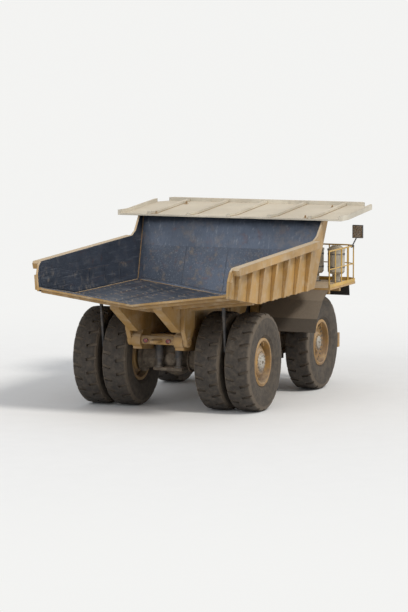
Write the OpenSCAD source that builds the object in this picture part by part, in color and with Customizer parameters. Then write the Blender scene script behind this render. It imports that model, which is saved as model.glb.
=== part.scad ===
// Mining dump truck: rigid frame, two axles, twin rear tyres and a hoisted rock bed with a cab canopy.
// Forward is +X, left is +Y, up is +Z. The origin is on the ground, under the middle of the truck.

/* [Length] */
// Front axle to rear axle
wheelbase = 4950; // [4850:10:5050]
// Rear axle to the tail lip of the bed
tail_overhang = 3200; // [3100:10:3300]
// Front axle to the bumper's face
front_overhang = 2150; // [2120:10:2250]

/* [Wheels] */
// Outer diameter of every tyre
tyre_d = 2700; // [2640:10:2740]
// Width of a tyre across its sidewalls
tyre_w = 740; // [700:5:750]
// Diameter of the rim where the tyre's bead sits
rim_d = 1245; // [1200:5:1290]
// Width between the rim's flanges
rim_w = 500; // [460:5:530]
// Middle of the left front tyre to the middle of the right one
front_track = 4300; // [4260:10:4400]
// Middle of the left pair of rear tyres to the middle of the right pair
rear_track = 3600; // [3580:10:3660]
// Middle of the inner tyre to the middle of the outer tyre of a pair
dual_spacing = 880; // [860:5:900]
// Tread lugs on each shoulder of a tyre
lug_count = 22; // [18:1:26]
// Depth of the grooves between the lugs
lug_depth = 75; // [50:5:90]
// Width of the grooves between the lugs
groove_w = 85; // [60:5:110]

/* [Frame] */
// Clear width between the two frame rails
rail_gap = 980; // [940:10:1000]
// Width of one rail
rail_w = 260; // [240:5:270]
// Height of the rails' upper edge over the axles
rail_rise = 900; // [880:5:930]
// Depth of a rail over the rear axle
rail_depth = 600; // [570:5:620]
// Depth of a rail in front of the step, beside the engine
rail_front_depth = 600; // [560:5:620]
// Drop of the front rails' lower edge under the axles
rail_drop = 270; // [250:5:300]
// Rear axle back to the bed's pivot
pivot_back = 1290; // [1260:5:1320]
// Drop of the bed's pivot under the rails' upper edge
pivot_drop = 270; // [250:5:290]
// Diameter of the bed's pivot pins
pivot_pin_d = 150; // [130:2:160]
// Thickness of the bed's pivot lugs
pivot_lug_t = 120; // [100:5:130]

/* [Steering and struts] */
// Distance of the steering axis inside the middle of the front tyre
kingpin_offset = 750; // [740:5:790]
// Diameter of the front strut's barrel
strut_d = 380; // [360:5:400]
// Diameter of the front strut's rod
strut_rod_d = 280; // [250:5:300]
// Length of the steering arms behind the steering axis
arm_back = 520; // [480:10:560]
// Diameter of the tie rod
tie_rod_d = 90; // [70:5:100]
// Diameter of the tie rod's pins
tie_pin_d = 70; // [60:2:80]

/* [Axles] */
// Diameter of the front spindles
front_spindle_d = 300; // [260:5:320]
// Diameter of the rear spindles
rear_spindle_d = 440; // [400:5:460]
// Diameter of the rear axle's arms
axle_arm_d = 600; // [560:5:620]
// Diameter of the rear axle's middle
axle_ball_d = 940; // [900:10:960]

/* [Bed] */
// Half of the bed's clear width at the middle of the floor
bed_half_w = 2650; // [2640:5:2720]
// Outward lean of the side walls, as a share of the height
bed_lean = 0.07; // [0.04:0.01:0.09]
// Thickness of the floor plate
floor_t = 60; // [40:5:70]
// Thickness of the side walls and the front wall
wall_t = 60; // [40:5:70]
// Depth of the bed's sills under the floor
sill_depth = 470; // [460:5:500]
// Rise of the floor from its middle line to its sides
v_rise = 350; // [330:5:370]
// Rear axle back to the bend where the tail starts to rise
tail_bend_back = 950; // [900:10:1000]
// Upward angle of the tail
tail_angle = 9; // [7:0.5:11]
// Side rail's height over the floor at the front
side_front_h = 1640; // [1570:10:1700]
// Side rail's height over the floor at the tail
side_rear_h = 1400; // [1350:10:1450]
// Front axle back to the foot of the front wall
front_wall_back = 1650; // [1620:10:1680]
// Lean of the front wall towards the cab
front_wall_angle = 22; // [19:0.5:23]
// Overall width of the canopy
canopy_w = 6880; // [6700:20:7000]
// Thickness of the canopy's plate
canopy_t = 50; // [30:5:60]
// Rise of the canopy towards its front edge
canopy_rise = 190; // [160:5:220]
// Height of the canopy's edge strips and ribs
canopy_rib_h = 100; // [70:5:120]
// Canopy's front edge back from the bumper's face
canopy_set = 150; // [120:10:200]

/* [Hoists] */
// Diameter of the hoist's barrel
hoist_d = 190; // [180:2:196]
// Diameter of the hoist's middle stage
stage_d = 156; // [150:2:160]
// Diameter of the hoist's rod
rod_d = 116; // [100:2:120]
// Diameter of the hoist's pins
hoist_pin_d = 100; // [90:2:106]
// Rear axle forward to the hoist's lower pin
hoist_low_ahead = 1050; // [1040:5:1070]
// Drop of the hoist's lower pin under the axles
hoist_low_drop = 200; // [190:5:210]
// Rear axle forward to the hoist's upper pin, with the bed down
hoist_high_ahead = 1650; // [1640:5:1680]

/* [Platform and cab] */
// Height of the platform over the tyres
deck_gap = 300; // [280:5:330]
// Thickness of the platform
deck_t = 60; // [40:5:70]
// Overall width of the platform
deck_w = 5900; // [5800:20:6000]
// Front axle back to the platform's rear edge
deck_back = 700; // [680:10:720]
// Front axle forward to the platform's front edge
deck_ahead = 1750; // [1730:10:1770]
// Length of the cab
cab_l = 1600; // [1560:10:1620]
// Width of the cab
cab_w = 1600; // [1560:10:1640]
// Height of the cab without its roof
cab_h = 1800; // [1740:10:1840]
// Thickness of the cab's walls and its door
cab_wall = 70; // [50:5:80]
// Thickness of the cab's roof
roof_t = 60; // [50:5:80]
// Truck's middle line to the cab's right wall
cab_side = 450; // [440:5:480]
// Front axle back to the cab's rear wall
cab_back = 350; // [330:5:370]
// Space between the cab's roof and the canopy
canopy_gap = 100; // [90:5:120]
// Width of the door
door_w = 770; // [700:10:780]
// Height of the handrails
handrail_h = 1050; // [950:10:1100]
// Diameter of the handrails
handrail_d = 44; // [38:2:50]

/* [Tanks and bumper] */
// Space between the rear tyre and a tank
tank_rear_gap = 340; // [320:10:400]
// Space between a tank and the front mud guard's foot
tank_front_gap = 140; // [110:5:200]
// Width of the tanks
tank_w = 950; // [800:10:1000]
// Height of the tanks
tank_h = 950; // [850:10:980]
// Radius of the tanks' edges
tank_r = 180; // [120:5:220]
// Overall width of the bumper
bumper_w = 4600; // [4400:20:4800]
// Height of the bumper
bumper_h = 420; // [380:5:450]
// Half of the radiator shell's width
shell_half_w = 850; // [800:10:860]
// Louvres of the grille
louvre_count = 13; // [9:1:15]
// Radius of the tow eyes' holes
tow_r = 45; // [35:1:50]

/* [Hidden] */
$fn = 72;

paint = "#c9a04a";
dark_steel = "#4a5058";
dark = "#33363a";
rubber = "#3c3936";
pale = "#cfcabb";

// Clearances: a shaft in its bore, faces that rest on each other, moving faces
run = 0.05;
seat = 0.3;
free = 5;

// Lengthwise places
nose_x = (tail_overhang + wheelbase + front_overhang) / 2;
tail_x = -nose_x;
rear_x = tail_x + tail_overhang;
front_x = rear_x + wheelbase;
pivot_x = rear_x - pivot_back;

// Heights
tyre_r = tyre_d / 2;
axle_z = tyre_r;
rail_low_z = axle_z - rail_drop;
rail_front_top_z = rail_low_z + rail_front_depth;
rail_top_z = axle_z + rail_rise;
rail_high_z = rail_top_z - rail_depth;
pivot_z = rail_top_z - pivot_drop;
sill_z = rail_top_z + seat;
floor_z = sill_z + sill_depth + floor_t;
deck_z = tyre_d + deck_gap;
cab_top_z = deck_z + cab_h;
canopy_z = cab_top_z + roof_t + canopy_gap;

// Sideways places
rail_in = rail_gap / 2;
rail_out = rail_in + rail_w;
kingpin_y = front_track / 2 - kingpin_offset;
hoist_y = rail_out + 22 + hoist_d / 2;
rear_inner_face = rear_track / 2 - dual_spacing / 2 - tyre_w / 2;

module along_x(x0, x1) translate([x0, 0, 0]) rotate([90, 0, 90]) linear_extrude(x1 - x0) children();
module along_y(y0, y1) translate([0, y1, 0]) rotate([90, 0, 0]) linear_extrude(y1 - y0) children();
module along_z(z0, z1) translate([0, 0, z0]) linear_extrude(z1 - z0) children();
module bar_x(r, x0, x1, y, z) translate([x0, y, z]) rotate([0, 90, 0]) cylinder(r = r, h = x1 - x0);
module bar_y(r, y0, y1, x, z) translate([x, y1, z]) rotate([90, 0, 0]) cylinder(r = r, h = y1 - y0);
module bar_z(r, z0, z1, x, y) translate([x, y, z0]) cylinder(r = r, h = z1 - z0);
module box(a, b) translate(a) cube(b - a);
module side(s) mirror([0, s < 0 ? 1 : 0, 0]) children();
module both() for (s = [1, -1]) side(s) children();

// Straight round bar between two points
module strut(a, b, r) {
    v = b - a;
    translate(a) rotate([0, acos(v.z / norm(v)), atan2(v.y, v.x)]) cylinder(r = r, h = norm(v));
}

// Points of a rectangle with rounded corners, five steps to a corner
function round_rect(x0, y0, x1, y1, r) = [for (c = [[x1, y1, 0], [x0, y1, 90], [x0, y0, 180], [x1, y0, 270]])
    for (i = [0:5]) [
        c.x + (c.x > x0 ? -r : r) + r * cos(c.z + i * 18),
        c.y + (c.y > y0 ? -r : r) + r * sin(c.z + i * 18)]];

// Wheels

bead_r = rim_d / 2;
flange_h = 42;
flange_t = 30;
tread_half_w = tyre_w * 0.42;

// Right half of the tyre's section: radius and sideways place of each point, from the bead to the tread
function tyre_half() = [
    [bead_r, rim_w / 2],
    [bead_r + flange_h + 3, rim_w / 2],
    [bead_r + flange_h + 90, rim_w / 2 + 75],
    [(bead_r + tyre_r) / 2 - 20, tyre_w / 2 - 6],
    [(bead_r + tyre_r) / 2 + 60, tyre_w / 2],
    [tyre_r - 150, tyre_w / 2 - 8],
    [tyre_r - 45, tread_half_w + 22],
    [tyre_r - 12, tread_half_w - 20],
    [tyre_r, tread_half_w - 110]];
function reversed(list) = [for (i = [len(list) - 1:-1:0]) list[i]];

module tyre(y) {
    half = tyre_half();
    groove_l = tyre_w / 2;
    translate([0, y, 0]) rotate([90, 0, 0]) difference() {
        rotate_extrude() polygon(concat([for (p = half) [p.x, p.y]], [for (p = reversed(half)) [p.x, -p.y]]));
        for (s = [1, -1], i = [0:lug_count - 1])
            rotate([0, 0, (i + (s > 0 ? 0 : 0.5)) * 360 / lug_count])
                translate([tyre_r - lug_depth, 0, s * 70]) rotate([s * 14, 0, 0])
                    translate([0, -groove_w / 2, s > 0 ? 0 : -groove_l])
                        cube([lug_depth + 40, groove_w, groove_l]);
    }
}

// One rim with its flanges: radius and sideways place
module rim_ring(y) {
    inner = bead_r - 45;
    lip = rim_w / 2 + flange_t;
    translate([0, y, 0]) rotate([90, 0, 0]) rotate_extrude() polygon([
        [inner, -lip], [bead_r + flange_h, -lip],
        [bead_r + flange_h, -rim_w / 2 - 1], [bead_r - 1, -rim_w / 2 - 1],
        [bead_r - 1, rim_w / 2 + 1], [bead_r + flange_h, rim_w / 2 + 1],
        [bead_r + flange_h, lip], [inner, lip]]);
}

// Turned solid about Y from a list of radius and sideways place
module turned_y(points) rotate([-90, 0, 0]) rotate_extrude() polygon(points);

module front_tyre(s) color(rubber) side(s) translate([front_x, 0, axle_z]) tyre(front_track / 2);

module front_rim(s) {
    y = front_track / 2;
    hub_in = y - 220;
    hub_out = y + 200;
    disc = y + 40;
    bore = front_spindle_d / 2 + run;
    hub_r = front_spindle_d / 2 + 150;
    color(paint) side(s) translate([front_x, 0, axle_z]) {
        rim_ring(y);
        turned_y([[bore, hub_in], [hub_r, hub_in], [hub_r, disc - 60],
            [bead_r - 44, disc + 40], [bead_r - 44, disc + 95], [hub_r, disc + 10],
            [hub_r, hub_out - 60], [hub_r - 40, hub_out],
            [0, hub_out], [0, hub_out - 60], [bore, hub_out - 60]]);
    }
}

module rear_tyres(s) color(rubber) side(s) translate([rear_x, 0, axle_z]) {
    tyre(rear_track / 2 - dual_spacing / 2);
    tyre(rear_track / 2 + dual_spacing / 2);
}

module rear_rims(s) {
    inner = rear_track / 2 - dual_spacing / 2;
    outer = rear_track / 2 + dual_spacing / 2;
    bore = rear_spindle_d / 2 + run;
    drum = bead_r - 150;
    hub_in = inner - 250;
    hub_out = outer + 230;
    color(paint) side(s) translate([rear_x, 0, axle_z]) {
        rim_ring(inner);
        rim_ring(outer);
        turned_y([[bore, hub_in], [drum - 90, hub_in], [drum, inner - 120], [bead_r - 44, inner - 80],
            [bead_r - 44, inner + 20], [drum, inner + 60], [drum, outer - 60], [bead_r - 44, outer - 20],
            [bead_r - 44, outer + 80], [drum, outer + 60], [drum, outer + 130], [drum - 90, outer + 170],
            [drum - 90, hub_out - 40], [drum - 140, hub_out], [0, hub_out], [0, hub_out - 90],
            [bore, hub_out - 90]]);
    }
}

// Frame

arch_half = axle_arm_d / 2 + 200;
arch_z = axle_z + axle_arm_d / 2 + 150;
kick_x = front_x - 2100;
kick_l = 1200;
neck_x = front_x - 1800;
neck_l = 450;
rail_nose_x = nose_x - 350;
hoist_low = [rear_x + hoist_low_ahead, axle_z - hoist_low_drop];
hoist_high = [rear_x + hoist_high_ahead, sill_z + 130];
hoist_pin_end = hoist_y + hoist_d / 2;
pivot_lug_y = rail_out + free;

module rail_outline() {
    polygon([
        [pivot_x + 40, rail_top_z], [neck_x, rail_top_z], [neck_x + neck_l, rail_front_top_z],
        [rail_nose_x, rail_front_top_z], [rail_nose_x, rail_low_z + 120], [rail_nose_x - 120, rail_low_z],
        [kick_x, rail_low_z], [kick_x - kick_l, rail_high_z], [rear_x + arch_half + 100, rail_high_z],
        [rear_x + arch_half - 60, arch_z], [rear_x - arch_half + 60, arch_z],
        [rear_x - arch_half - 100, rail_high_z], [pivot_x - 60, rail_high_z + 80],
        [pivot_x - 100, pivot_z + 100]]);
    translate([pivot_x, pivot_z]) circle(r = 190);
    polygon([[hoist_low.x - 170, rail_high_z + 20], [hoist_low.x - 85, hoist_low.y],
        [hoist_low.x + 85, hoist_low.y], [hoist_low.x + 170, rail_high_z + 20]]);
    translate(hoist_low) circle(r = hoist_pin_d / 2 + 50);
}

module frame_rails() color(paint) both() {
    along_y(rail_in, rail_out) rail_outline();
    bar_y(hoist_pin_d / 2, rail_out - 20, hoist_pin_end, hoist_low.x, hoist_low.y);
    bar_y(pivot_pin_d / 2, rail_out - 20, pivot_lug_y + pivot_lug_t + 20, pivot_x, pivot_z);
}

tower_top_z = axle_z + 1250;
tower_half_l = 190;
// Cross tubes: place, radius and height of the front, middle and rear one
cross_tubes = [[rail_nose_x - 250, 110, rail_low_z + 200], [front_x - 2350, 130, rail_top_z - 300],
    [rear_x + 600, 110, rail_top_z - 160]];
strut_low_z = axle_z + 210;
strut_top_z = tower_top_z + 60;
strut_r = strut_d / 2;
rear_strut_x = rear_x - 590;
rear_strut_y = 290;
collar_h = 60;
rear_beam_z = axle_z + 520;
rear_beam_w = 240;
rear_beam_h = 210;
rear_barrel_r = 110;
rear_rod_r = 80;
// A-shaped link of the rear axle: its root, its ring in front, and the window between its legs
link_root_x = [rear_x + 150, rear_x + 300];
link_half_w = 400;
link_ball_x = rear_x + 1480;
link_tip_half = 80;
link_window_x = [rear_x + 380, link_ball_x - 330];
link_window_half = [240, 55];
link_z = axle_z - 330;
link_t = 120;
link_ring_r = 100;
link_pin_r = 60;
// Hanger of that link on the frame
hanger_x = [link_ball_x + 90, link_ball_x + 200];
hanger_foot_half = 240;
hanger_side_z = axle_z + 330;
hanger_top_z = rail_top_z - 250;
shaft_hole_r = 170;
strut_seat_z = axle_z - 190;
strut_seat_t = 80;
strut_seat_front_x = rear_x - 200;
strut_bore_l = 520;
shaft_z = axle_z + 40;

module strut_tower() difference() {
    along_x(front_x - tower_half_l, front_x + tower_half_l) polygon([
        [rail_out, rail_low_z + 60], [kingpin_y - 280, strut_low_z + collar_h + seat],
        [kingpin_y - 50, strut_low_z + collar_h + 30],
        [kingpin_y - 50, tower_top_z - 130], [kingpin_y - 260, tower_top_z], [rail_in, tower_top_z],
        [rail_in, rail_front_top_z], [rail_out, rail_front_top_z]]);
    bar_z(strut_r + seat, strut_low_z, tower_top_z + 10, front_x, kingpin_y);
}

// Rear tow plate: its hole behind the bed's pivot, the radius of its end, its thickness
tow_plate_back = 330;
tow_plate_r = 130;
tow_plate_t = 80;

module frame_crossmembers() color(paint) {
    both() strut_tower();
    for (t = cross_tubes) bar_y(t[1], -rail_in, rail_in, t[0], t[2]);
    // Beam that carries the rear struts
    box([rear_strut_x - rear_beam_w / 2, -rail_in, rear_beam_z],
        [rear_strut_x + rear_beam_w / 2, rail_in, rear_beam_z + rear_beam_h]);
    // Hanger of the rear axle's link, with a hole for the propeller shaft
    difference() {
        along_x(hanger_x[0], hanger_x[1]) polygon([
            [-rail_in, hanger_top_z], [-rail_in, hanger_side_z], [-hanger_foot_half, link_z - link_t],
            [hanger_foot_half, link_z - link_t], [rail_in, hanger_side_z], [rail_in, hanger_top_z]]);
        bar_x(shaft_hole_r, hanger_x[0] - 10, hanger_x[1] + 10, 0, shaft_z);
    }
    bar_x(link_pin_r, link_ball_x - 60 + link_ring_r + seat, hanger_x[0] + 10, 0, link_z);
    // Rear cross tube at the bed's pivot, with the rear tow plate
    bar_y(cross_tube_r, -rail_in, rail_in, pivot_x, pivot_z);
    difference() {
        union() {
            box([pivot_x - tow_plate_back, -tow_plate_r, pivot_z - tow_plate_t / 2],
                [pivot_x, tow_plate_r, pivot_z + tow_plate_t / 2]);
            bar_z(tow_plate_r, pivot_z - tow_plate_t / 2, pivot_z + tow_plate_t / 2,
                pivot_x - tow_plate_back, 0);
        }
        bar_z(tow_r, pivot_z - tow_plate_t, pivot_z + tow_plate_t, pivot_x - tow_plate_back, 0);
    }
}

bumper_top_z = rail_low_z + 340;
bumper_low_z = bumper_top_z - bumper_h;
bumper_back_x = rail_nose_x + 50;
// How far the bumper's ends are swept back, over how much of its width
bumper_sweep = [140, 600];
tow_y = 540;
tow_lug_t = 80;
tow_x = nose_x - 110;
tow_z = bumper_low_z - 70;
// Sideways places of the headlamps and their radius
headlamp_y = [1150, 1420];
headlamp_r = 100;
headlamp_depth = 75;
headlamp_z = (bumper_low_z + bumper_top_z) / 2;

module bumper() color(paint) {
    difference() {
        union() {
            along_z(bumper_low_z, bumper_top_z) polygon([
                [bumper_back_x, -bumper_w / 2], [nose_x - bumper_sweep.x, -bumper_w / 2],
                [nose_x, bumper_sweep.y - bumper_w / 2],
                [nose_x, bumper_w / 2 - bumper_sweep.y], [nose_x - bumper_sweep.x, bumper_w / 2],
                [bumper_back_x, bumper_w / 2]]);
            box([rail_nose_x, -rail_out, bumper_low_z], [bumper_back_x + 10, rail_out, bumper_top_z]);
        }
        both() for (y = headlamp_y)
            bar_x(headlamp_r, nose_x - headlamp_depth, nose_x + 10, y, headlamp_z);
    }
    both() difference() {
        along_y(tow_y - tow_lug_t / 2, tow_y + tow_lug_t / 2) {
            polygon([[tow_x - 190, bumper_low_z + 10], [tow_x - 70, tow_z - 40], [tow_x + 60, tow_z - 40],
                [tow_x + 100, bumper_low_z + 10]]);
            translate([tow_x, tow_z]) circle(r = tow_r + 45);
        }
        bar_y(tow_r, tow_y - tow_lug_t, tow_y + tow_lug_t, tow_x, tow_z);
    }
}

module headlamps() color("white") both() for (y = headlamp_y) {
    bar_x(headlamp_r - seat, nose_x - headlamp_depth, nose_x - 22, y, headlamp_z);
    translate([nose_x - 22, y, headlamp_z]) rotate([0, 90, 0])
        cylinder(r1 = headlamp_r - 5, r2 = headlamp_r - 35, h = 18);
}

cross_tube_r = 120;
tail_lamp_y = rail_in - 160;
module tail_lamps() color("firebrick") both() {
    back = pivot_x - cross_tube_r - seat;
    bar_x(60, back - 55, back, tail_lamp_y, pivot_z);
}

// Radiator shell with its grille, and the powertrain

shell_l = 550;
shell_set = 300;
shell_front_x = nose_x - shell_set;
shell_back_x = shell_front_x - shell_l;
shell_top_z = deck_z - deck_t;
grille_half_w = shell_half_w - 150;
grille_low_z = rail_front_top_z + 130;
grille_top_z = shell_top_z - 180;
grille_depth = 150;

module radiator_shell() color(paint) difference() {
    along_y(-shell_half_w, shell_half_w) polygon([
        [shell_back_x, rail_front_top_z], [shell_front_x - 40, rail_front_top_z],
        [shell_front_x, rail_front_top_z + 60],
        [shell_front_x, grille_top_z + 60], [shell_front_x - 30, grille_top_z + 120],
        [shell_front_x - 90, shell_top_z],
        [shell_back_x, shell_top_z]]);
    box([shell_front_x - grille_depth, -grille_half_w, grille_low_z],
        [shell_front_x + 10, grille_half_w, grille_top_z]);
}

module grille() color(dark) {
    x0 = shell_front_x - grille_depth;
    pitch = (grille_top_z - grille_low_z) / louvre_count;
    // Radiator core, louvres and three uprights
    box([x0, -grille_half_w, grille_low_z], [x0 + 40, grille_half_w, grille_top_z]);
    along_y(-grille_half_w, grille_half_w) for (i = [0:louvre_count - 1])
        translate([x0 + 60, grille_low_z + (i + 0.5) * pitch])
            polygon([[0, 0.30 * pitch], [0, 0.42 * pitch], [75, -0.14 * pitch], [75, -0.26 * pitch]]);
    for (y = [-grille_half_w, -25, grille_half_w - 50])
        box([x0 + 30, y, grille_low_z], [x0 + 145, y + 50, grille_top_z]);
}

// Engine: its rear end, half width, lowest and highest place
engine_x = front_x - 750;
engine_half_w = 420;
engine_z = [axle_z - 80, axle_z + 1150];
// Gearbox: its ends, half width, lowest and highest place
gearbox_l = 1150;
gearbox_x = [engine_x - 400 - gearbox_l, engine_x - 400];
gearbox_half_w = 330;
gearbox_z = [axle_z - 200, axle_z + 330];
coupling_r = 150;
shaft_r = 95;

module powertrain() color(dark) {
    box([engine_x, -engine_half_w, engine_z[0]], [shell_back_x - 40, engine_half_w, engine_z[1]]);
    box([gearbox_x[0], -gearbox_half_w, gearbox_z[0]], [gearbox_x[1], gearbox_half_w, gearbox_z[1]]);
    bar_x(coupling_r, gearbox_x[1], engine_x, 0, shaft_z);
    // Propeller shaft back to the rear axle
    bar_x(shaft_r, rear_x + axle_ball_d / 2, gearbox_x[0] + 10, 0, shaft_z);
}

// Suspension and axles

module struts() color(dark_steel) both() {
    // Front barrel with its bore for the rod
    difference() {
        union() {
            bar_z(strut_r, strut_low_z, strut_top_z, front_x, kingpin_y);
            bar_z(strut_r + 25, strut_low_z, strut_low_z + collar_h, front_x, kingpin_y);
        }
        bar_z(strut_rod_d / 2 + run, strut_low_z - 10, strut_low_z + strut_bore_l, front_x, kingpin_y);
    }
    // Rear strut: barrel above, rod below
    bar_z(rear_barrel_r, axle_z + 60, rear_beam_z, rear_strut_x, rear_strut_y);
    bar_z(rear_rod_r, strut_seat_z, axle_z + 80, rear_strut_x, rear_strut_y);
}

// Left half of the rear axle's section: radius and sideways place, from the middle to the spindle's end
function axle_half() = concat(
    [for (a = [0:9:54]) [axle_ball_d / 2 * cos(a), axle_ball_d / 2 * sin(a)]],
    [[axle_arm_d / 2, rail_in - 60], [axle_arm_d / 2, rear_inner_face - 80],
    [axle_arm_d / 2 + 110, rear_inner_face - 50], [axle_arm_d / 2 + 110, rear_inner_face + 30],
    [rear_spindle_d / 2, rear_inner_face + 30],
    [rear_spindle_d / 2, rear_track / 2 + dual_spacing / 2 + 120]]);

module rear_axle() color(dark_steel) {
    half = axle_half();
    end_y = half[len(half) - 1].y;
    translate([rear_x, 0, axle_z]) turned_y(concat([[0, -end_y]],
        [for (p = reversed(half)) if (p.y > 0) [p.x, -p.y]], half, [[0, end_y]]));
    // A-shaped link to the hanger on the frame
    along_z(link_z - link_t / 2, link_z + link_t / 2) polygon(
        points = [[link_root_x[0], link_half_w], [link_root_x[1], link_half_w],
            [link_ball_x - 20, link_tip_half], [link_ball_x - 20, -link_tip_half],
            [link_root_x[1], -link_half_w], [link_root_x[0], -link_half_w],
            [link_window_x[0], link_window_half[0]], [link_window_x[1], link_window_half[1]],
            [link_window_x[1], -link_window_half[1]], [link_window_x[0], -link_window_half[0]]],
        paths = [[0, 1, 2, 3, 4, 5], [6, 7, 8, 9]]);
    bar_z(link_ring_r, link_z - link_t / 2 - 15, link_z + link_t / 2 + 15, link_ball_x - 60, 0);
    // Seats of the rear struts
    box([rear_strut_x - 130, -rear_strut_y - 130, strut_seat_z - strut_seat_t],
        [strut_seat_front_x, rear_strut_y + 130, strut_seat_z]);
}

arm_z = axle_z - 310;
arm_t = 100;
arm_root_r = 150;
arm_eye_r = 75;
brake_r = bead_r - 180;
module knuckle(s) color(dark_steel) side(s) {
    bar_z(strut_rod_d / 2, axle_z - 100, strut_low_z + 450, front_x, kingpin_y);
    bar_z(strut_r + 20, arm_z + arm_t - 10, strut_low_z - 15, front_x, kingpin_y);
    bar_y(front_spindle_d / 2, kingpin_y, front_track / 2 + 130, front_x, axle_z);
    bar_y(front_spindle_d / 2 + 60, kingpin_y, kingpin_y + 260, front_x, axle_z);
    // Brake
    bar_y(brake_r, kingpin_y + 240, front_track / 2 - 250, front_x, axle_z);
    // Steering arm
    difference() {
        union() {
            bar_z(arm_root_r, arm_z, arm_z + arm_t, front_x, kingpin_y);
            bar_z(arm_eye_r, arm_z, arm_z + arm_t, front_x - arm_back, kingpin_y);
            along_z(arm_z, arm_z + arm_t) polygon([[front_x, kingpin_y + arm_root_r - 35],
                [front_x, kingpin_y - arm_root_r + 35], [front_x - arm_back, kingpin_y - arm_eye_r + 15],
                [front_x - arm_back, kingpin_y + arm_eye_r - 15]]);
        }
        bar_z(tie_pin_d / 2 + run, arm_z - 10, arm_z + arm_t + 10, front_x - arm_back, kingpin_y);
    }
}

module tie_rod() color(dark_steel) {
    x = front_x - arm_back;
    end_y = kingpin_y;
    z = arm_z - free - 65;
    bar_y(tie_rod_d / 2, -end_y, end_y, x, z);
    both() {
        bar_z(tie_rod_d / 2 + 25, z - 60, z + 65, x, end_y);
        bar_z(tie_pin_d / 2, z, arm_z + arm_t + 20, x, end_y);
    }
}

// Hoists: the geometry of the linkage at rest

hoist_rest = hoist_high - hoist_low;
hoist_l = norm(hoist_rest);
hoist_tilt = atan2(hoist_rest.y, hoist_rest.x);
eye_r = hoist_pin_d / 2 + 38;
barrel_end = hoist_l - eye_r - 58;
stage_end = hoist_l - eye_r - 36;
ear_gap = 130;
ear_t = 36;

// Puts a piece drawn along +X from the lower pin into the hoist's place
module on_hoist(s) side(s) translate([hoist_low.x, hoist_y, hoist_low.y])
    rotate([0, -hoist_tilt, 0]) children();

module hoist_barrel(s) color(dark_steel) on_hoist(s) difference() {
    union() {
        bar_y(eye_r, -hoist_d / 2 + 8, hoist_d / 2 - 8, 0, 0);
        bar_x(hoist_d / 2, 50, barrel_end, 0, 0);
    }
    bar_y(hoist_pin_d / 2 + run, -hoist_d, hoist_d, 0, 0);
    bar_x(stage_d / 2 + run, 140, barrel_end + 10, 0, 0);
}

module hoist_stage(s) color("silver") on_hoist(s) difference() {
    bar_x(stage_d / 2, 150, stage_end, 0, 0);
    bar_x(rod_d / 2 + run, 170, stage_end + 10, 0, 0);
}

module hoist_rod(s) color("silver") on_hoist(s) {
    bar_x(rod_d / 2, 180, hoist_l, 0, 0);
    bar_y(eye_r, -ear_gap / 2 + 1, ear_gap / 2 - 1, hoist_l, 0);
}

// Bed: every plate is cut from the same few regions, so that the plates meet face to face

bend_x = rear_x - tail_bend_back;
wall_foot_x = front_x - front_wall_back;
wall_run = wall_t / cos(front_wall_angle);
function wall_x(z) = wall_foot_x + (z - floor_z) * tan(front_wall_angle);
floor_front_x = wall_x(floor_z + v_rise) + wall_run + 40;
function inner_y(z) = bed_half_w + bed_lean * (z - floor_z);
side_low_z = floor_z + v_rise - floor_t - 30;
tail_side_low_z = side_low_z + (bend_x - tail_x) * tan(tail_angle);
side_front_z = floor_z + side_front_h;
side_rear_z = floor_z + side_rear_h;
bolster_depth = 70;
far = 900;

// V section of the floor, from low to high over its upper face
module v_section(low, high) {
    w = bed_half_w + 400;
    r = v_rise * w / bed_half_w;
    polygon([[-w, floor_z + r + high], [-w, floor_z + r + low], [0, floor_z + low],
        [w, floor_z + r + low], [w, floor_z + r + high], [0, floor_z + high]]);
}

module tail_tilt() translate([bend_x, 0, floor_z]) rotate([0, tail_angle, 0])
    translate([-bend_x, 0, -floor_z]) children();

// Layer along the floor, bent at the tail
module floor_layer(low, high, reach = 0) {
    along_x(bend_x, floor_front_x + reach) v_section(low, high);
    intersection() {
        tail_tilt() along_x(tail_x - 400, bend_x + 300) v_section(low, high);
        box([tail_x - reach, -canopy_w, 0], [bend_x, canopy_w, canopy_z + far * 2]);
    }
}

// Space between the side walls' inner faces, moved outwards by t
module between_walls(t = 0) along_x(tail_x - far, nose_x + far) polygon([
    [-inner_y(axle_z) - t, axle_z], [inner_y(axle_z) + t, axle_z],
    [inner_y(canopy_z + far) + t, canopy_z + far], [-inner_y(canopy_z + far) - t, canopy_z + far]]);

// Lengthwise places of the cross bolsters, as shares of the stretch from the tail to the front wall
bolster_at = [0.02, 0.16, 0.30, 0.44, 0.58, 0.72, 0.86, 0.97];
bolster_w = 170;
function bolster_x(share) = tail_x + share * (floor_front_x - tail_x - bolster_w);

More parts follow.
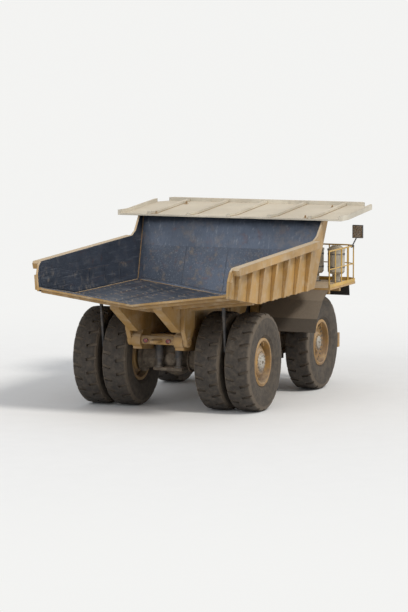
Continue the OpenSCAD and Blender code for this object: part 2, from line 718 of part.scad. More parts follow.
module bed_floor() color(paint) {
    intersection() {
        union() {
            floor_layer(-floor_t, 0);
            intersection() {
                floor_layer(-floor_t - bolster_depth, -10);
                for (share = bolster_at)
                    box([bolster_x(share), -canopy_w, 0], [bolster_x(share) + bolster_w, canopy_w, canopy_z]);
            }
            difference() {
                both() {
                    // Sill over the rail, tapered under the tail
                    along_y(rail_in, rail_out) polygon([[pivot_x - 330, sill_z], [wall_foot_x - 150, sill_z],
                        [wall_foot_x + 60, sill_z + 220], [wall_foot_x + 60, floor_z + 200],
                        [tail_x + 300, floor_z + 900], [tail_x + 300, floor_z + 200]]);
                    // Pivot lug beside the rail's end
                    along_y(pivot_lug_y, pivot_lug_y + pivot_lug_t) {
                        polygon([[pivot_x - 150, pivot_z], [pivot_x + 150, pivot_z],
                            [pivot_x + 420, sill_z + 60], [pivot_x + 420, floor_z + 300],
                            [pivot_x - 320, floor_z + 300], [pivot_x - 320, sill_z + 60]]);
                        translate([pivot_x, pivot_z]) circle(r = pivot_pin_d / 2 + 85);
                    }
                    along_y(rail_out - 30, pivot_lug_y + pivot_lug_t) polygon([
                        [pivot_x + 400, sill_z + 60], [pivot_x + 400, floor_z + 300],
                        [pivot_x - 300, floor_z + 300], [pivot_x - 300, sill_z + 60]]);
                    // Ears of the hoist's upper pin
                    for (y = [hoist_y - ear_gap / 2 - ear_t, hoist_y + ear_gap / 2]) along_y(y, y + ear_t) {
                        polygon([[hoist_high.x - 80, hoist_high.y], [hoist_high.x + 80, hoist_high.y],
                            [hoist_high.x + 190, floor_z + 300], [hoist_high.x - 190, floor_z + 300]]);
                        translate(hoist_high) circle(r = eye_r + 12);
                    }
                }
                floor_layer(-15, far * 2, 500);
            }
        }
        between_walls();
    }
}
module bed_floor_bored() difference() {
    bed_floor();
    both() bar_y(pivot_pin_d / 2 + run, rail_out - 40, pivot_lug_y + pivot_lug_t + 10, pivot_x, pivot_z);
}

// Side view of a side wall, from the tail's lower corner round to the tail's upper corner
function side_outline() = [
    [tail_x, tail_side_low_z], [bend_x, side_low_z], [floor_front_x, side_low_z],
    [wall_x(canopy_z) + wall_run + 60, canopy_z], [wall_x(canopy_z) - 260, canopy_z],
    [wall_x(side_front_z) - 420, side_front_z + 120], [wall_x(side_front_z) - 700, side_front_z],
    [tail_x + 260, side_rear_z], [tail_x + 120, side_rear_z - 90], [tail_x, side_rear_z - 330]];

top_rail_h = 210;
top_rail_w = 230;
stake_w = 150;
// Lengthwise places of the stakes, as shares of the stretch from the tail to the front wall
stake_at = [0.05, 0.20, 0.35, 0.50, 0.65, 0.80, 0.95];

module bed_sides() color(paint) both() {
    rail_end_x = wall_x(side_front_z) - 640;
    difference() {
        intersection() {
            along_y(bed_half_w - 400, bed_half_w + 400) polygon(side_outline());
            between_walls(wall_t);
        }
        between_walls();
    }
    // Top rail along the upper edge
    along_y(inner_y(side_rear_z) + 10, inner_y(side_rear_z) + 10 + top_rail_w) polygon([
        [tail_x + 260, side_rear_z], [tail_x + 200, side_rear_z - 60],
        [tail_x + 260, side_rear_z - top_rail_h],
        [rail_end_x, side_front_z - top_rail_h], [rail_end_x, side_front_z]]);
    // Stakes on the outer face, deeper at the top
    intersection() {
        along_y(bed_half_w - 400, bed_half_w + 500) polygon(side_outline());
        for (share = stake_at) translate([tail_x + 150 + share * (wall_foot_x - tail_x - 450), 0, 0])
            along_x(0, stake_w) polygon([
                [inner_y(side_low_z) + wall_t - 10, side_low_z],
                [inner_y(side_low_z) + wall_t + 70, side_low_z],
                [inner_y(side_front_z) + wall_t + 150, side_front_z - 60],
                [inner_y(side_front_z) + wall_t - 10, side_front_z - 60]]);
    }
}

front_rib_count = 5;
front_rib_w = 140;
front_rib_pitch = 0.45;
module bed_front() color(paint) {
    z0 = floor_z - 80;
    rib = 120;
    intersection() {
        difference() {
            union() {
                along_y(-canopy_w / 2, canopy_w / 2) polygon([
                    [wall_x(z0), z0], [wall_x(z0) + wall_run, z0],
                    [wall_x(canopy_z) + wall_run, canopy_z], [wall_x(canopy_z), canopy_z]]);
                for (i = [0:front_rib_count - 1]) {
                    y = (i - (front_rib_count - 1) / 2) * bed_half_w * front_rib_pitch;
                    along_y(y - front_rib_w / 2, y + front_rib_w / 2) polygon([
                        [wall_x(floor_z) + 20, floor_z], [wall_x(floor_z) + wall_run + 20, floor_z],
                        [wall_x(floor_z + 500) + wall_run + rib, floor_z + 500],
                        [wall_x(canopy_z) + wall_run + rib, canopy_z], [wall_x(canopy_z) + 20, canopy_z]]);
                }
            }
            floor_layer(-far, 0, 500);
        }
        between_walls();
    }
}

canopy_front_x = nose_x - canopy_set;
canopy_rear_x = wall_x(canopy_z) - 420;
canopy_bend_x = wall_x(canopy_z) + wall_run + 180;
canopy_rib_w = 120;
canopy_corner = 450;
// Sideways places of the canopy's ribs, as shares of half its width
canopy_rib_at = [-0.72, -0.36, 0, 0.36, 0.72];
function canopy_under(x) = canopy_z + (x < canopy_bend_x ? 0
    : canopy_rise * (x - canopy_bend_x) / (canopy_front_x - canopy_bend_x));

module canopy_strip(h, x0, x1) polygon([
    [x0, canopy_under(x0)], [canopy_bend_x, canopy_z], [x1, canopy_under(x1)],
    [x1, canopy_under(x1) + h], [canopy_bend_x, canopy_z + h], [x0, canopy_under(x0) + h]]);

module bed_canopy() color(pale) intersection() {
    union() {
        along_y(-canopy_w / 2, canopy_w / 2) canopy_strip(canopy_t, canopy_rear_x, canopy_front_x);
        for (share = canopy_rib_at)
            along_y((share * canopy_w - canopy_rib_w) / 2, (share * canopy_w + canopy_rib_w) / 2)
                canopy_strip(canopy_t + canopy_rib_h * 0.7, canopy_rear_x + 60, canopy_front_x);
        both() along_y(canopy_w / 2 - 70, canopy_w / 2) canopy_strip(canopy_t + canopy_rib_h,
            canopy_rear_x, canopy_front_x);
        along_y(-canopy_w / 2, canopy_w / 2) canopy_strip_end(canopy_t + canopy_rib_h, 110);
    }
    // Front corners cut off in plan
    along_z(canopy_z - 10, canopy_z + far) polygon([
        [canopy_rear_x, -canopy_w / 2], [canopy_front_x - canopy_corner, -canopy_w / 2],
        [canopy_front_x, canopy_corner - canopy_w / 2], [canopy_front_x, canopy_w / 2 - canopy_corner],
        [canopy_front_x - canopy_corner, canopy_w / 2], [canopy_rear_x, canopy_w / 2]]);
}

// Strip across the canopy's front edge
module canopy_strip_end(h, l) {
    x0 = canopy_front_x - l;
    polygon([[x0, canopy_under(x0)], [canopy_front_x, canopy_under(canopy_front_x)],
        [canopy_front_x, canopy_under(canopy_front_x) + h], [x0, canopy_under(x0) + h]]);
}

ejector_t = 56;
// Heights of the ejector's knee and of its foot under the tyres' tops
ejector_drop = [550, 1000];
module rock_ejectors() color(dark) both() {
    x = bolster_x(bolster_at[2]) + bolster_w / 2;
    difference() {
        along_y(rear_track / 2 - ejector_t / 2, rear_track / 2 + ejector_t / 2) polygon([
            [x - 60, floor_z + v_rise], [x + 60, floor_z + v_rise],
            [x + 190, tyre_d - ejector_drop[0]], [x + 210, tyre_d - ejector_drop[1]],
            [x + 130, tyre_d - ejector_drop[1]], [x + 100, tyre_d - ejector_drop[0] - 10]]);
        floor_layer(-floor_t - bolster_depth - seat, far, 500);
    }
}

// Platform with its guards, rails and ladders

deck_rear_x = front_x - deck_back;
deck_front_x = front_x + deck_ahead;
deck_under_z = deck_z - deck_t;
// Cut of the platform's front corners, and the handrails' distance inside its edge
deck_corner = 240;
deck_beam_w = 120;
deck_beam_h = 110;
rail_inset = 45;

module deck() color(paint) {
    along_z(deck_under_z, deck_z) polygon([
        [deck_rear_x, -deck_w / 2], [deck_front_x - deck_corner, -deck_w / 2],
        [deck_front_x, -deck_w / 2 + deck_corner],
        [deck_front_x, deck_w / 2 - deck_corner], [deck_front_x - deck_corner, deck_w / 2],
        [deck_rear_x, deck_w / 2]]);
    // Channels under the plate and legs down to the towers and the rails
    for (x = [deck_rear_x + 60, front_x + 260]) for (s = [1, -1]) side(s)
        box([x, rail_in, deck_under_z - deck_beam_h], [x + deck_beam_w, deck_w / 2 - 60, deck_under_z + 10]);
    both() {
        box([front_x - deck_beam_w, rail_in, tower_top_z],
            [front_x + deck_beam_w, rail_out - 40, deck_under_z + 10]);
        box([deck_rear_x + 60, rail_in, rail_front_top_z],
            [deck_rear_x + 60 + deck_beam_w, rail_out - 40, deck_under_z - 10]);
    }
}

// Side view of the rear mud guard: how far behind the front axle and how high over it, top to foot
guard_foot_back = 1770;
guard_points = [[-deck_back, 1590], [-1150, 1330], [-1600, 850], [-guard_foot_back, 480]];
guard_t = 22;
front_flap_h = 380;
module mud_guards() color(dark) both() {
    pts = [for (p = guard_points) [front_x + p.x, p.y == guard_points[0].y ? deck_under_z : axle_z + p.y]];
    along_y(kingpin_y - 300, deck_w / 2 - 60)
        polygon(concat(pts, [for (p = reversed(pts)) [p.x + guard_t, p.y]]));
    along_y(kingpin_y + 120, deck_w / 2 - 260) polygon([
        [deck_front_x - 60, deck_under_z], [deck_front_x - 60 + guard_t, deck_under_z],
        [deck_front_x + guard_t, deck_under_z - front_flap_h], [deck_front_x, deck_under_z - front_flap_h]]);
}

ladder_in_y = shell_half_w + 90;
ladder_w = 480;
ladder_foot_x = nose_x - 150;
ladder_head_x = deck_front_x + 60;
step_count = 6;
ladder_t = 30;
// Depths of the steps under the bumper
low_steps = [505, 235];

// Handrail over a route in plan: each point is x, y and the spaces between posts up to the next point
module rail_run(route) {
    r = handrail_d / 2;
    for (i = [0:len(route) - 2]) {
        a = route[i];
        b = route[i + 1];
        strut([a.x, a.y, deck_z + handrail_h], [b.x, b.y, deck_z + handrail_h], r);
        strut([a.x, a.y, deck_z + handrail_h / 2], [b.x, b.y, deck_z + handrail_h / 2], r - 6);
        for (k = [0:a.z - 1])
            bar_z(r - 3, deck_z, deck_z + handrail_h,
                a.x + (b.x - a.x) * k / a.z, a.y + (b.y - a.y) * k / a.z);
    }
    last = route[len(route) - 1];
    bar_z(r - 3, deck_z, deck_z + handrail_h, last.x, last.y);
    for (p = route) translate([p.x, p.y, deck_z + handrail_h]) sphere(r = r + 2, $fn = 32);
}

module handrails() color("#d8b75c") {
    y1 = deck_w / 2 - rail_inset;
    front = deck_front_x - rail_inset;
    both() rail_run([[deck_rear_x + rail_inset, y1, 4], [front - deck_corner, y1, 1],
        [front, y1 - deck_corner, 2],
        [front, ladder_in_y + ladder_w + 60]]);
    rail_run([[front, ladder_in_y - 60, 3], [front, -ladder_in_y + 60]]);
}

module ladders() color("#d8b75c") both() {
    foot = [ladder_foot_x, bumper_top_z];
    head = [ladder_head_x, deck_z - 20];
    v = head - foot;
    sides = [ladder_in_y, ladder_in_y + ladder_w - ladder_t];
    for (y = sides) along_y(y, y + ladder_t) polygon([
        [foot.x - 70, foot.y], [foot.x + 70, foot.y], [head.x + 70, head.y], [deck_front_x, head.y],
        [deck_front_x, head.y - 100]]);
    for (i = [1:step_count]) {
        p = foot + v * i / (step_count + 0.6);
        box([p.x - 85, ladder_in_y + 10, p.y - 15], [p.x + 85, ladder_in_y + ladder_w - 10, p.y + 15]);
    }
    // Steps hung under the bumper
    for (y = sides)
        box([nose_x - 230, y, bumper_low_z - low_steps[0] - 15], [nose_x - 190, y + ladder_t, bumper_low_z]);
    for (h = low_steps)
        box([nose_x - 280, ladder_in_y + 10, bumper_low_z - h - 15],
            [nose_x - 130, ladder_in_y + ladder_w - 10, bumper_low_z - h + 15]);
}

tank_low_z = axle_z - 330;
module tanks() color(paint) both()
    along_y(rail_out, rail_out + tank_w)
        polygon(round_rect(rear_x + tyre_r + tank_rear_gap, tank_low_z,
            front_x - guard_foot_back - tank_front_gap, tank_low_z + tank_h, tank_r));

// Air cleaners: how far behind the platform's front edge, and inside its right edge
cleaner_at = [[500, 500], [500, 1150]];
cleaner_r = 250;
cleaner_pipe_r = 120;
// Heights over the platform: the bowl, the drum, its flange and the cap
cleaner_z = [240, 300, 920, 970];
cleaner_top = 1060;
module air_cleaner() {
    cylinder(r = cleaner_pipe_r, h = cleaner_z[0] + 20);
    translate([0, 0, cleaner_z[0]])
        cylinder(r1 = cleaner_r - 50, r2 = cleaner_r, h = cleaner_z[1] - cleaner_z[0]);
    translate([0, 0, cleaner_z[1]]) cylinder(r = cleaner_r, h = cleaner_z[2] - cleaner_z[1]);
    translate([0, 0, cleaner_z[2]]) cylinder(r = cleaner_r + 15, h = cleaner_z[3] - cleaner_z[2]);
    translate([0, 0, cleaner_z[3]])
        cylinder(r1 = cleaner_r - 10, r2 = cleaner_pipe_r + 10, h = cleaner_top - cleaner_z[3]);
}
module air_cleaners() color(pale) for (p = cleaner_at)
    translate([deck_front_x - p.x, p.y - deck_w / 2, deck_z]) air_cleaner();

mirror_w = 310;
mirror_h = 380;
module mirrors() color(dark) both() {
    x = deck_front_x - 400;
    y = deck_w / 2 - rail_inset;
    z = deck_z + handrail_h;
    // Clamp round the handrail with its arm
    difference() {
        union() {
            bar_x(handrail_d / 2 + 22, x - 60, x + 60, y, z);
            strut([x, y, z], [x, y + 130, z + 250], 18);
        }
        bar_x(handrail_d / 2 + seat, x - 70, x + 70, y, z);
    }
    box([x - 45, y + 20, z + 240], [x + 25, y + 20 + mirror_w, z + 240 + mirror_h]);
}

// Cab on the left of the platform

cab_x0 = front_x - cab_back;
cab_x1 = cab_x0 + cab_l;
cab_y0 = cab_side;
cab_y1 = cab_side + cab_w;
screen_z = deck_z + 700;
screen_back = 170;
// Front wall's outer face at a height
function screen_x(z) = cab_x1 - max(0, z - screen_z) * screen_back / (cab_top_z - screen_z);
door_x1 = cab_x1 - 400;
door_x0 = door_x1 - door_w;
door_low_z = deck_z + 80;
door_top_z = cab_top_z - 60;
glass_t = 12;

// Door hinges: the pins' place in plan, and the height of each over the platform
hinge_x = door_x1 + 30;
hinge_y = cab_y1 + 24;
hinge_at = [350, 1250];
hinge_h = 90;
hinge_pin_r = 12;
hinge_r = 22;

function cab_outline(t) = [[cab_x0 + t, deck_z + t], [cab_x1 - t, deck_z + t],
    [screen_x(screen_z) - t, screen_z],
    [screen_x(cab_top_z) - t, cab_top_z + (t > 0 ? 10 : 0)], [cab_x0 + t, cab_top_z + (t > 0 ? 10 : 0)]];

// Windows as blocks that run through a wall: lowest and highest corner
screen_cut = [[cab_x1 - screen_back - 300, cab_y0 + 150, screen_z + 60],
    [cab_x1 + 50, cab_y1 - 150, cab_top_z - 110]];
rear_cut = [[cab_x0 - 20, cab_y0 + 200, deck_z + 850],
    [cab_x0 + cab_wall + 20, cab_y1 - 200, cab_top_z - 150]];
right_cut = [[cab_x0 + 220, cab_y0 - 20, deck_z + 720],
    [cab_x1 - 420, cab_y0 + cab_wall + 20, cab_top_z - 130]];
left_cut = [[door_x1 + 60, cab_y1 - cab_wall - 20, deck_z + 760],
    [cab_x1 - 240, cab_y1 + 20, cab_top_z - 130]];

module cab_walls() color(paint) {
    difference() {
        along_y(cab_y0, cab_y1) polygon(cab_outline(0));
        along_y(cab_y0 + cab_wall, cab_y1 - cab_wall) polygon(cab_outline(cab_wall));
        for (c = [screen_cut, rear_cut, right_cut, left_cut]) box(c[0], c[1]);
        box([door_x0, cab_y1 - cab_wall - 20, door_low_z], [door_x1, cab_y1 + 20, door_top_z]);
    }
    // Two ears and a pin at each hinge
    for (h = hinge_at) {
        z = deck_z + h;
        for (ear_z = [z - 25 - seat, z + hinge_h + seat])
            box([door_x1 + 4, cab_y1 - 10, ear_z], [door_x1 + 70, hinge_y + hinge_r, ear_z + 25]);
        bar_z(hinge_pin_r, z - 20, z + hinge_h + 20, hinge_x, hinge_y);
    }
}

module cab_roof() color(pale) along_y(cab_y0 - 60, cab_y1 + 60) polygon([
    [cab_x0 - 60, cab_top_z], [screen_x(cab_top_z) + 140, cab_top_z],
    [screen_x(cab_top_z) + 120, cab_top_z + roof_t * 0.6],
    [screen_x(cab_top_z) + 40, cab_top_z + roof_t], [cab_x0 - 20, cab_top_z + roof_t],
    [cab_x0 - 60, cab_top_z + roof_t * 0.6]]);

module cab_glass() color([0.5, 0.6, 0.65, 0.5]) {
    mid = cab_wall / 2;
    along_y(screen_cut[0].y, screen_cut[1].y) polygon([
        for (p = [[screen_cut[0].z, 0], [screen_cut[1].z, 0],
            [screen_cut[1].z, glass_t], [screen_cut[0].z, glass_t]])
            [screen_x(p.x) - mid - p.y, p.x]]);
    box([cab_x0 + mid, rear_cut[0].y, rear_cut[0].z], [cab_x0 + mid + glass_t, rear_cut[1].y, rear_cut[1].z]);
    box([right_cut[0].x, cab_y0 + mid, right_cut[0].z],
        [right_cut[1].x, cab_y0 + mid + glass_t, right_cut[1].z]);
    box([left_cut[0].x, cab_y1 - mid, left_cut[0].z], [left_cut[1].x, cab_y1 - mid + glass_t, left_cut[1].z]);
}

cab_floor_z = deck_z + cab_wall;
seat_x = cab_x0 + 420;
seat_y = (cab_y0 + cab_y1) / 2;
seat_w = 500;
seat_h = 430;
seat_t = 140;
seat_back_z = 1060;
steering_r = 210;
module cab_seat() color(dark) translate([seat_x, seat_y, cab_floor_z]) {
    cylinder(r = 140, h = seat_h - seat_t + 10);
    box([-230, -seat_w / 2, seat_h - seat_t], [290, seat_w / 2, seat_h]);
    along_y(10 - seat_w / 2, seat_w / 2 - 10) polygon([[-250, seat_h - 30], [-130, seat_h - 30],
        [-190, seat_back_z], [-290, seat_back_z]]);
}

module cab_console() color(dark) {
    x = cab_x1 - cab_wall;
    // Instrument shelf against the front wall, column and wheel
    along_y(cab_y0 + cab_wall, cab_y1 - cab_wall) polygon([
        [x - 260, cab_floor_z + 480], [x, cab_floor_z + 330],
        [x, cab_floor_z + 620], [x - 240, cab_floor_z + 560]]);
    wheel = [x - 480, seat_y, cab_floor_z + 690];
    strut([x - 200, seat_y, cab_floor_z + 490], wheel, 35);
    translate(wheel) rotate([0, -50, 0]) {
        rotate_extrude() translate([steering_r, 0]) circle(r = 17, $fn = 24);
        for (a = [0, 120, 240]) rotate([0, 0, a]) bar_x(13, 0, steering_r - 5, 0, 0);
        cylinder(r = 50, h = 30, center = true);
    }
}

// Window of the door: lowest and highest corner, through its whole thickness
door_cut = [[door_x0 + 100, cab_y1 - cab_wall - 10, deck_z + 760],
    [door_x1 - 90, cab_y1 + 10, cab_top_z - 150]];

module cab_door() color(paint) {
    difference() {
        box([door_x0 + 12, cab_y1 - cab_wall, door_low_z + 6], [door_x1 - 6, cab_y1, door_top_z - 6]);
        box(door_cut[0], door_cut[1]);
    }
    // Knuckle and leaf of each hinge
    for (h = hinge_at) difference() {
        union() {
            bar_z(hinge_r, deck_z + h, deck_z + h + hinge_h, hinge_x, hinge_y);
            along_z(deck_z + h, deck_z + h + hinge_h) polygon([
                [door_x1 - 85, cab_y1 - 10], [door_x1 - 10, cab_y1 - 10],
                [door_x1 - 10, hinge_y - hinge_r + 4],
                [hinge_x, hinge_y - hinge_r + 4], [hinge_x, hinge_y - 6], [door_x1 - 85, hinge_y - 6]]);
        }
        bar_z(hinge_pin_r + run, deck_z + h - 10, deck_z + h + hinge_h + 10, hinge_x, hinge_y);
    }
}

module door_glass() color([0.5, 0.6, 0.65, 0.5])
    box([door_cut[0].x, cab_y1 - cab_wall / 2, door_cut[0].z],
        [door_cut[1].x, cab_y1 - cab_wall / 2 + glass_t, door_cut[1].z]);

frame_rails();
frame_crossmembers();
bumper();
radiator_shell();
grille();
powertrain();
deck();
mud_guards();
handrails();
ladders();
headlamps();
tail_lamps();
tanks();
air_cleaners();
mirrors();
cab_walls();
cab_roof();
cab_glass();
cab_seat();
cab_console();
cab_door();
door_glass();
struts();
rear_axle();
bed_floor_bored();  // bed_floor
bed_sides();
bed_front();
bed_canopy();
rock_ejectors();
hoist_barrel(1);  // hoist_barrel_left
hoist_barrel(-1);  // hoist_barrel_right
hoist_stage(1);  // hoist_stage_left
hoist_stage(-1);  // hoist_stage_right
hoist_rod(1);  // hoist_rod_left
hoist_rod(-1);  // hoist_rod_right
knuckle(1);  // knuckle_left
knuckle(-1);  // knuckle_right
tie_rod();
front_tyre(1);  // front_tyre_left
front_tyre(-1);  // front_tyre_right
front_rim(1);  // front_rim_left
front_rim(-1);  // front_rim_right
rear_tyres(1);  // rear_tyres_left
rear_tyres(-1);  // rear_tyres_right
rear_rims(1);  // rear_rims_left
rear_rims(-1);  // rear_rims_right
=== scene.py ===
import bpy
import math
import random
from itertools import product
from mathutils import Matrix, Vector
from mathutils.bvhtree import BVHTree


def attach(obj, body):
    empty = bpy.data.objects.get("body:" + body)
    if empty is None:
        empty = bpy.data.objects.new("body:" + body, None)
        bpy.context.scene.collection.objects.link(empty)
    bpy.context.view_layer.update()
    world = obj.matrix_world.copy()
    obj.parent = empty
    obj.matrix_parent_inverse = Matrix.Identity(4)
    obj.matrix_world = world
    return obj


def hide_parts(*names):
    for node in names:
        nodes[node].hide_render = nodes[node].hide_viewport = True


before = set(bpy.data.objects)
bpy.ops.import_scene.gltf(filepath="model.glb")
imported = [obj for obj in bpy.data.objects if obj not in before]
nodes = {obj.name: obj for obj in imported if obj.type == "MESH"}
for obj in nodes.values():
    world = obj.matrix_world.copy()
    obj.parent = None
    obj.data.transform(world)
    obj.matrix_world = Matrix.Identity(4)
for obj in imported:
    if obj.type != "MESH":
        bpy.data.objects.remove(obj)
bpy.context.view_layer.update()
random.seed(7)


# Places of the CAD part, in metres

AHEAD, BACK, LEFT, RIGHT, UP, DOWN = (1, 0, 0), (-1, 0, 0), (0, 1, 0), (0, -1, 0), (0, 0, 1), (0, 0, -1)
TAIL = -5.15
REAR_X, FRONT_X, AXLE_Z, TYRE_R = -1.95, 3.0, 1.35, 1.35
RAIL_IN, RAIL_OUT, RAIL_TOP, RAIL_STEP = 0.49, 0.75, 2.235, 1.665
PIVOT_X, PIVOT_Z = -3.24, 1.98
FLOOR_Z, V_RISE, HALF_W, LEAN = 2.7803, 0.35, 2.65, 0.07
BEND_X, TAIL_TAN = -2.90, math.tan(math.radians(9))
WALL_TAN, WALL_FOOT = math.tan(math.radians(22)), 1.35
WALL_RUN = 0.06 / math.cos(math.radians(22))
DECK_Z, DECK_X0, DECK_X1, DECK_HALF = 3.0, 2.30, 4.75, 2.95
CAB_X0, CAB_X1, CAB_Y0, CAB_Y1, CAB_TOP = 2.65, 4.25, 0.45, 2.05, 4.80
CANOPY_Z, CANOPY_RISE = 4.96, 0.19
SIDE_FRONT_Z, SIDE_REAR_Z = 4.4203, 4.1803
KING_Y = 1.4


# Colours are given as they look on a screen and held as the shader's linear values

class Tint(tuple):
    """Colour; a number that multiplies it makes it brighter or darker."""

    def __mul__(self, k):
        return Tint(min(1, c * k) for c in self[:3]) + (1.0,)

    def __add__(self, other):
        return Tint(tuple(self) + tuple(other))


def lin(*screen):
    return Tint(c / 12.92 if c <= 0.04045 else ((c + 0.055) / 1.055) ** 2.4
        for c in (s / 255 for s in screen)) + (1.0,)


DUST = lin(196, 182, 160)
SOIL = lin(122, 100, 82)
OCHRE = lin(184, 144, 82)
PALE = lin(218, 210, 192)
STEEL = lin(84, 92, 106)
BRIGHT = lin(150, 156, 164)
RUST = lin(112, 68, 42)
DARK = lin(52, 52, 54)
RUBBER = lin(42, 40, 39)


def adds(op, clamp=False):
    """Operator that adds a math node to the material."""
    return lambda self, other=0.0: self.look.math(op, self, other, clamp)


class Value:
    """A socket of a material, with arithmetic. &, ~ and plus() hold masks in 0 to 1; | takes the larger."""

    def __init__(self, look, socket):
        self.look, self.socket = look, socket

    __add__, plus = adds("ADD"), adds("ADD", True)
    __mul__, __and__ = adds("MULTIPLY"), adds("MULTIPLY", True)
    __sub__, __pow__, __or__, __abs__ = adds("SUBTRACT"), adds("POWER"), adds("MAXIMUM"), adds("ABSOLUTE")
    sine, sign, root = adds("SINE"), adds("SIGN"), adds("SQRT")

    def __invert__(self):
        return self.look.math("SUBTRACT", 1.0, self, True)

    def wave(self, rate):
        """Ribs: the size of a sine."""
        return abs((self * rate).sine())

    def step(self, low, high):
        """0 below low, 1 above high, smooth between; low may be the larger."""
        n = self.look.node("MapRange", Value=self)
        n.interpolation_type = "SMOOTHSTEP"
        ends = (low, high, 0, 1) if low < high else (high, low, 1, 0)
        for key, end in zip(("From Min", "From Max", "To Min", "To Max"), ends):
            n.inputs[key].default_value = end
        return Value(self.look, n.outputs[0])


class Nodes:
    """Short calls that add nodes to a tree and return their values."""

    def __init__(self, tree, kind):
        self.t = tree
        tree.nodes.clear()
        self.out = self.node("Output" + kind)

    def link(self, a, b):
        self.t.links.new(a, b)

    def put(self, socket, value):
        if isinstance(value, Value):
            value = value.socket
        if isinstance(value, bpy.types.NodeSocket):
            self.link(value, socket)
        else:
            socket.default_value = value

    def node(self, kind, **inputs):
        n = self.t.nodes.new("ShaderNode" + kind)
        for key, value in inputs.items():
            self.put(n.inputs[key], value)
        return n

    def math(self, op, a, b=0.0, clamp=False):
        n = self.node("Math")
        n.operation = op
        n.use_clamp = clamp
        self.put(n.inputs[0], a)
        self.put(n.inputs[1], b)
        return Value(self, n.outputs[0])

    def rays(self, *kinds):
        path = self.node("LightPath")
        return [Value(self, path.outputs["Is " + kind + " Ray"]) for kind in kinds]

    def two(self, mask, a, b):
        """Ends the tree in shader a where the mask is 0 and b where it is 1."""
        n = self.node("MixShader")
        for socket, value in zip(n.inputs, (mask, a.outputs[0], b.outputs[0])):
            self.put(socket, value)
        self.link(n.outputs[0], self.out.inputs[0])


class Look(Nodes):
    """A material being made. paint() lays a colour over what is there, and skin() ends the material."""

    def __init__(self, name):
        self.m = bpy.data.materials.new(name)
        self.m.use_nodes = True
        super().__init__(self.m.node_tree, "Material")
        self.bsdf = self.node("BsdfPrincipled")
        self.link(self.bsdf.outputs[0], self.out.inputs[0])
        where = self.node("TexCoord")
        self.pos = where.outputs["Object"]
        self.x, self.y, self.z = self.parts(self.pos)
        self.nx, self.ny, self.nz = self.parts(where.outputs["Normal"])

    def parts(self, vector):
        return [Value(self, s) for s in self.node("SeparateXYZ", Vector=vector).outputs]

    def stretch(self, x, y, z, turn=0.0):
        return self.node("Mapping", Vector=self.pos, Scale=(x, y, z), Rotation=(0, turn, 0)).outputs[0]

    def noise(self, scale, detail=4.0, rough=0.55, where=None, bend=0.0):
        n = self.node("TexNoise", Scale=scale, Detail=detail, Roughness=rough, Distortion=bend,
            Vector=where or self.pos)
        return Value(self, n.outputs["Fac"])

    def streaks(self, detail, rough, *stretch):
        """Noise drawn out along the axes where the stretch is small."""
        return self.noise(1.0, detail, rough, self.stretch(*stretch))

    def cells(self, scale, where=None, feature="F1"):
        n = self.node("TexVoronoi", Scale=scale, Vector=where or self.pos)
        n.feature = feature
        return Value(self, n.outputs["Distance"])

    def blend(self, f, a, b, kind="FLOAT"):
        n = self.node("Mix")
        n.data_type = kind
        for key, value in (("Factor", f), ("A", a), ("B", b)):
            self.put(n.inputs[key], value)
        return Value(self, n.outputs["Result"])

    def mix(self, f, a, b):
        return self.blend(f, a, b, "RGBA")

    def tones(self, f, tint, low, high):
        return self.mix(f, tint * low, tint * high)

    def paint(self, mask, tint):
        self.colour = self.mix(mask, self.colour, tint)

    def edges(self, radius, low=0.015, high=0.10):
        """Mask of convex and concave edges, from the rounded normal against the true one."""
        bevel = self.node("Bevel", Radius=radius)
        bevel.samples = 4
        dot = self.node("VectorMath")
        dot.operation = "DOT_PRODUCT"
        self.rounded = bevel.outputs[0]
        self.link(self.rounded, dot.inputs[0])
        self.link(self.node("NewGeometry").outputs["True Normal"], dot.inputs[1])
        return (~Value(self, dot.outputs["Value"])).step(low, high)

    def worn(self, radius, scale, low, high):
        """Edges, broken up by noise."""
        return self.edges(radius) & self.noise(scale, 5.0, 0.7).step(low, high)

    def bump(self, height, strength, distance, normal):
        bump = self.node("Bump", Height=height, Strength=strength, Distance=distance, Normal=normal)
        return bump.outputs[0]

    def skin(self, roughness, height, strength, distance, **more):
        more.update(base_color=self.colour, roughness=roughness)
        more["normal"] = self.bump(height, strength, distance, self.rounded)
        for key, value in more.items():
            self.put(self.bsdf.inputs[key.replace("_", " ").title().replace("Ior", "IOR")], value)
        return self.m


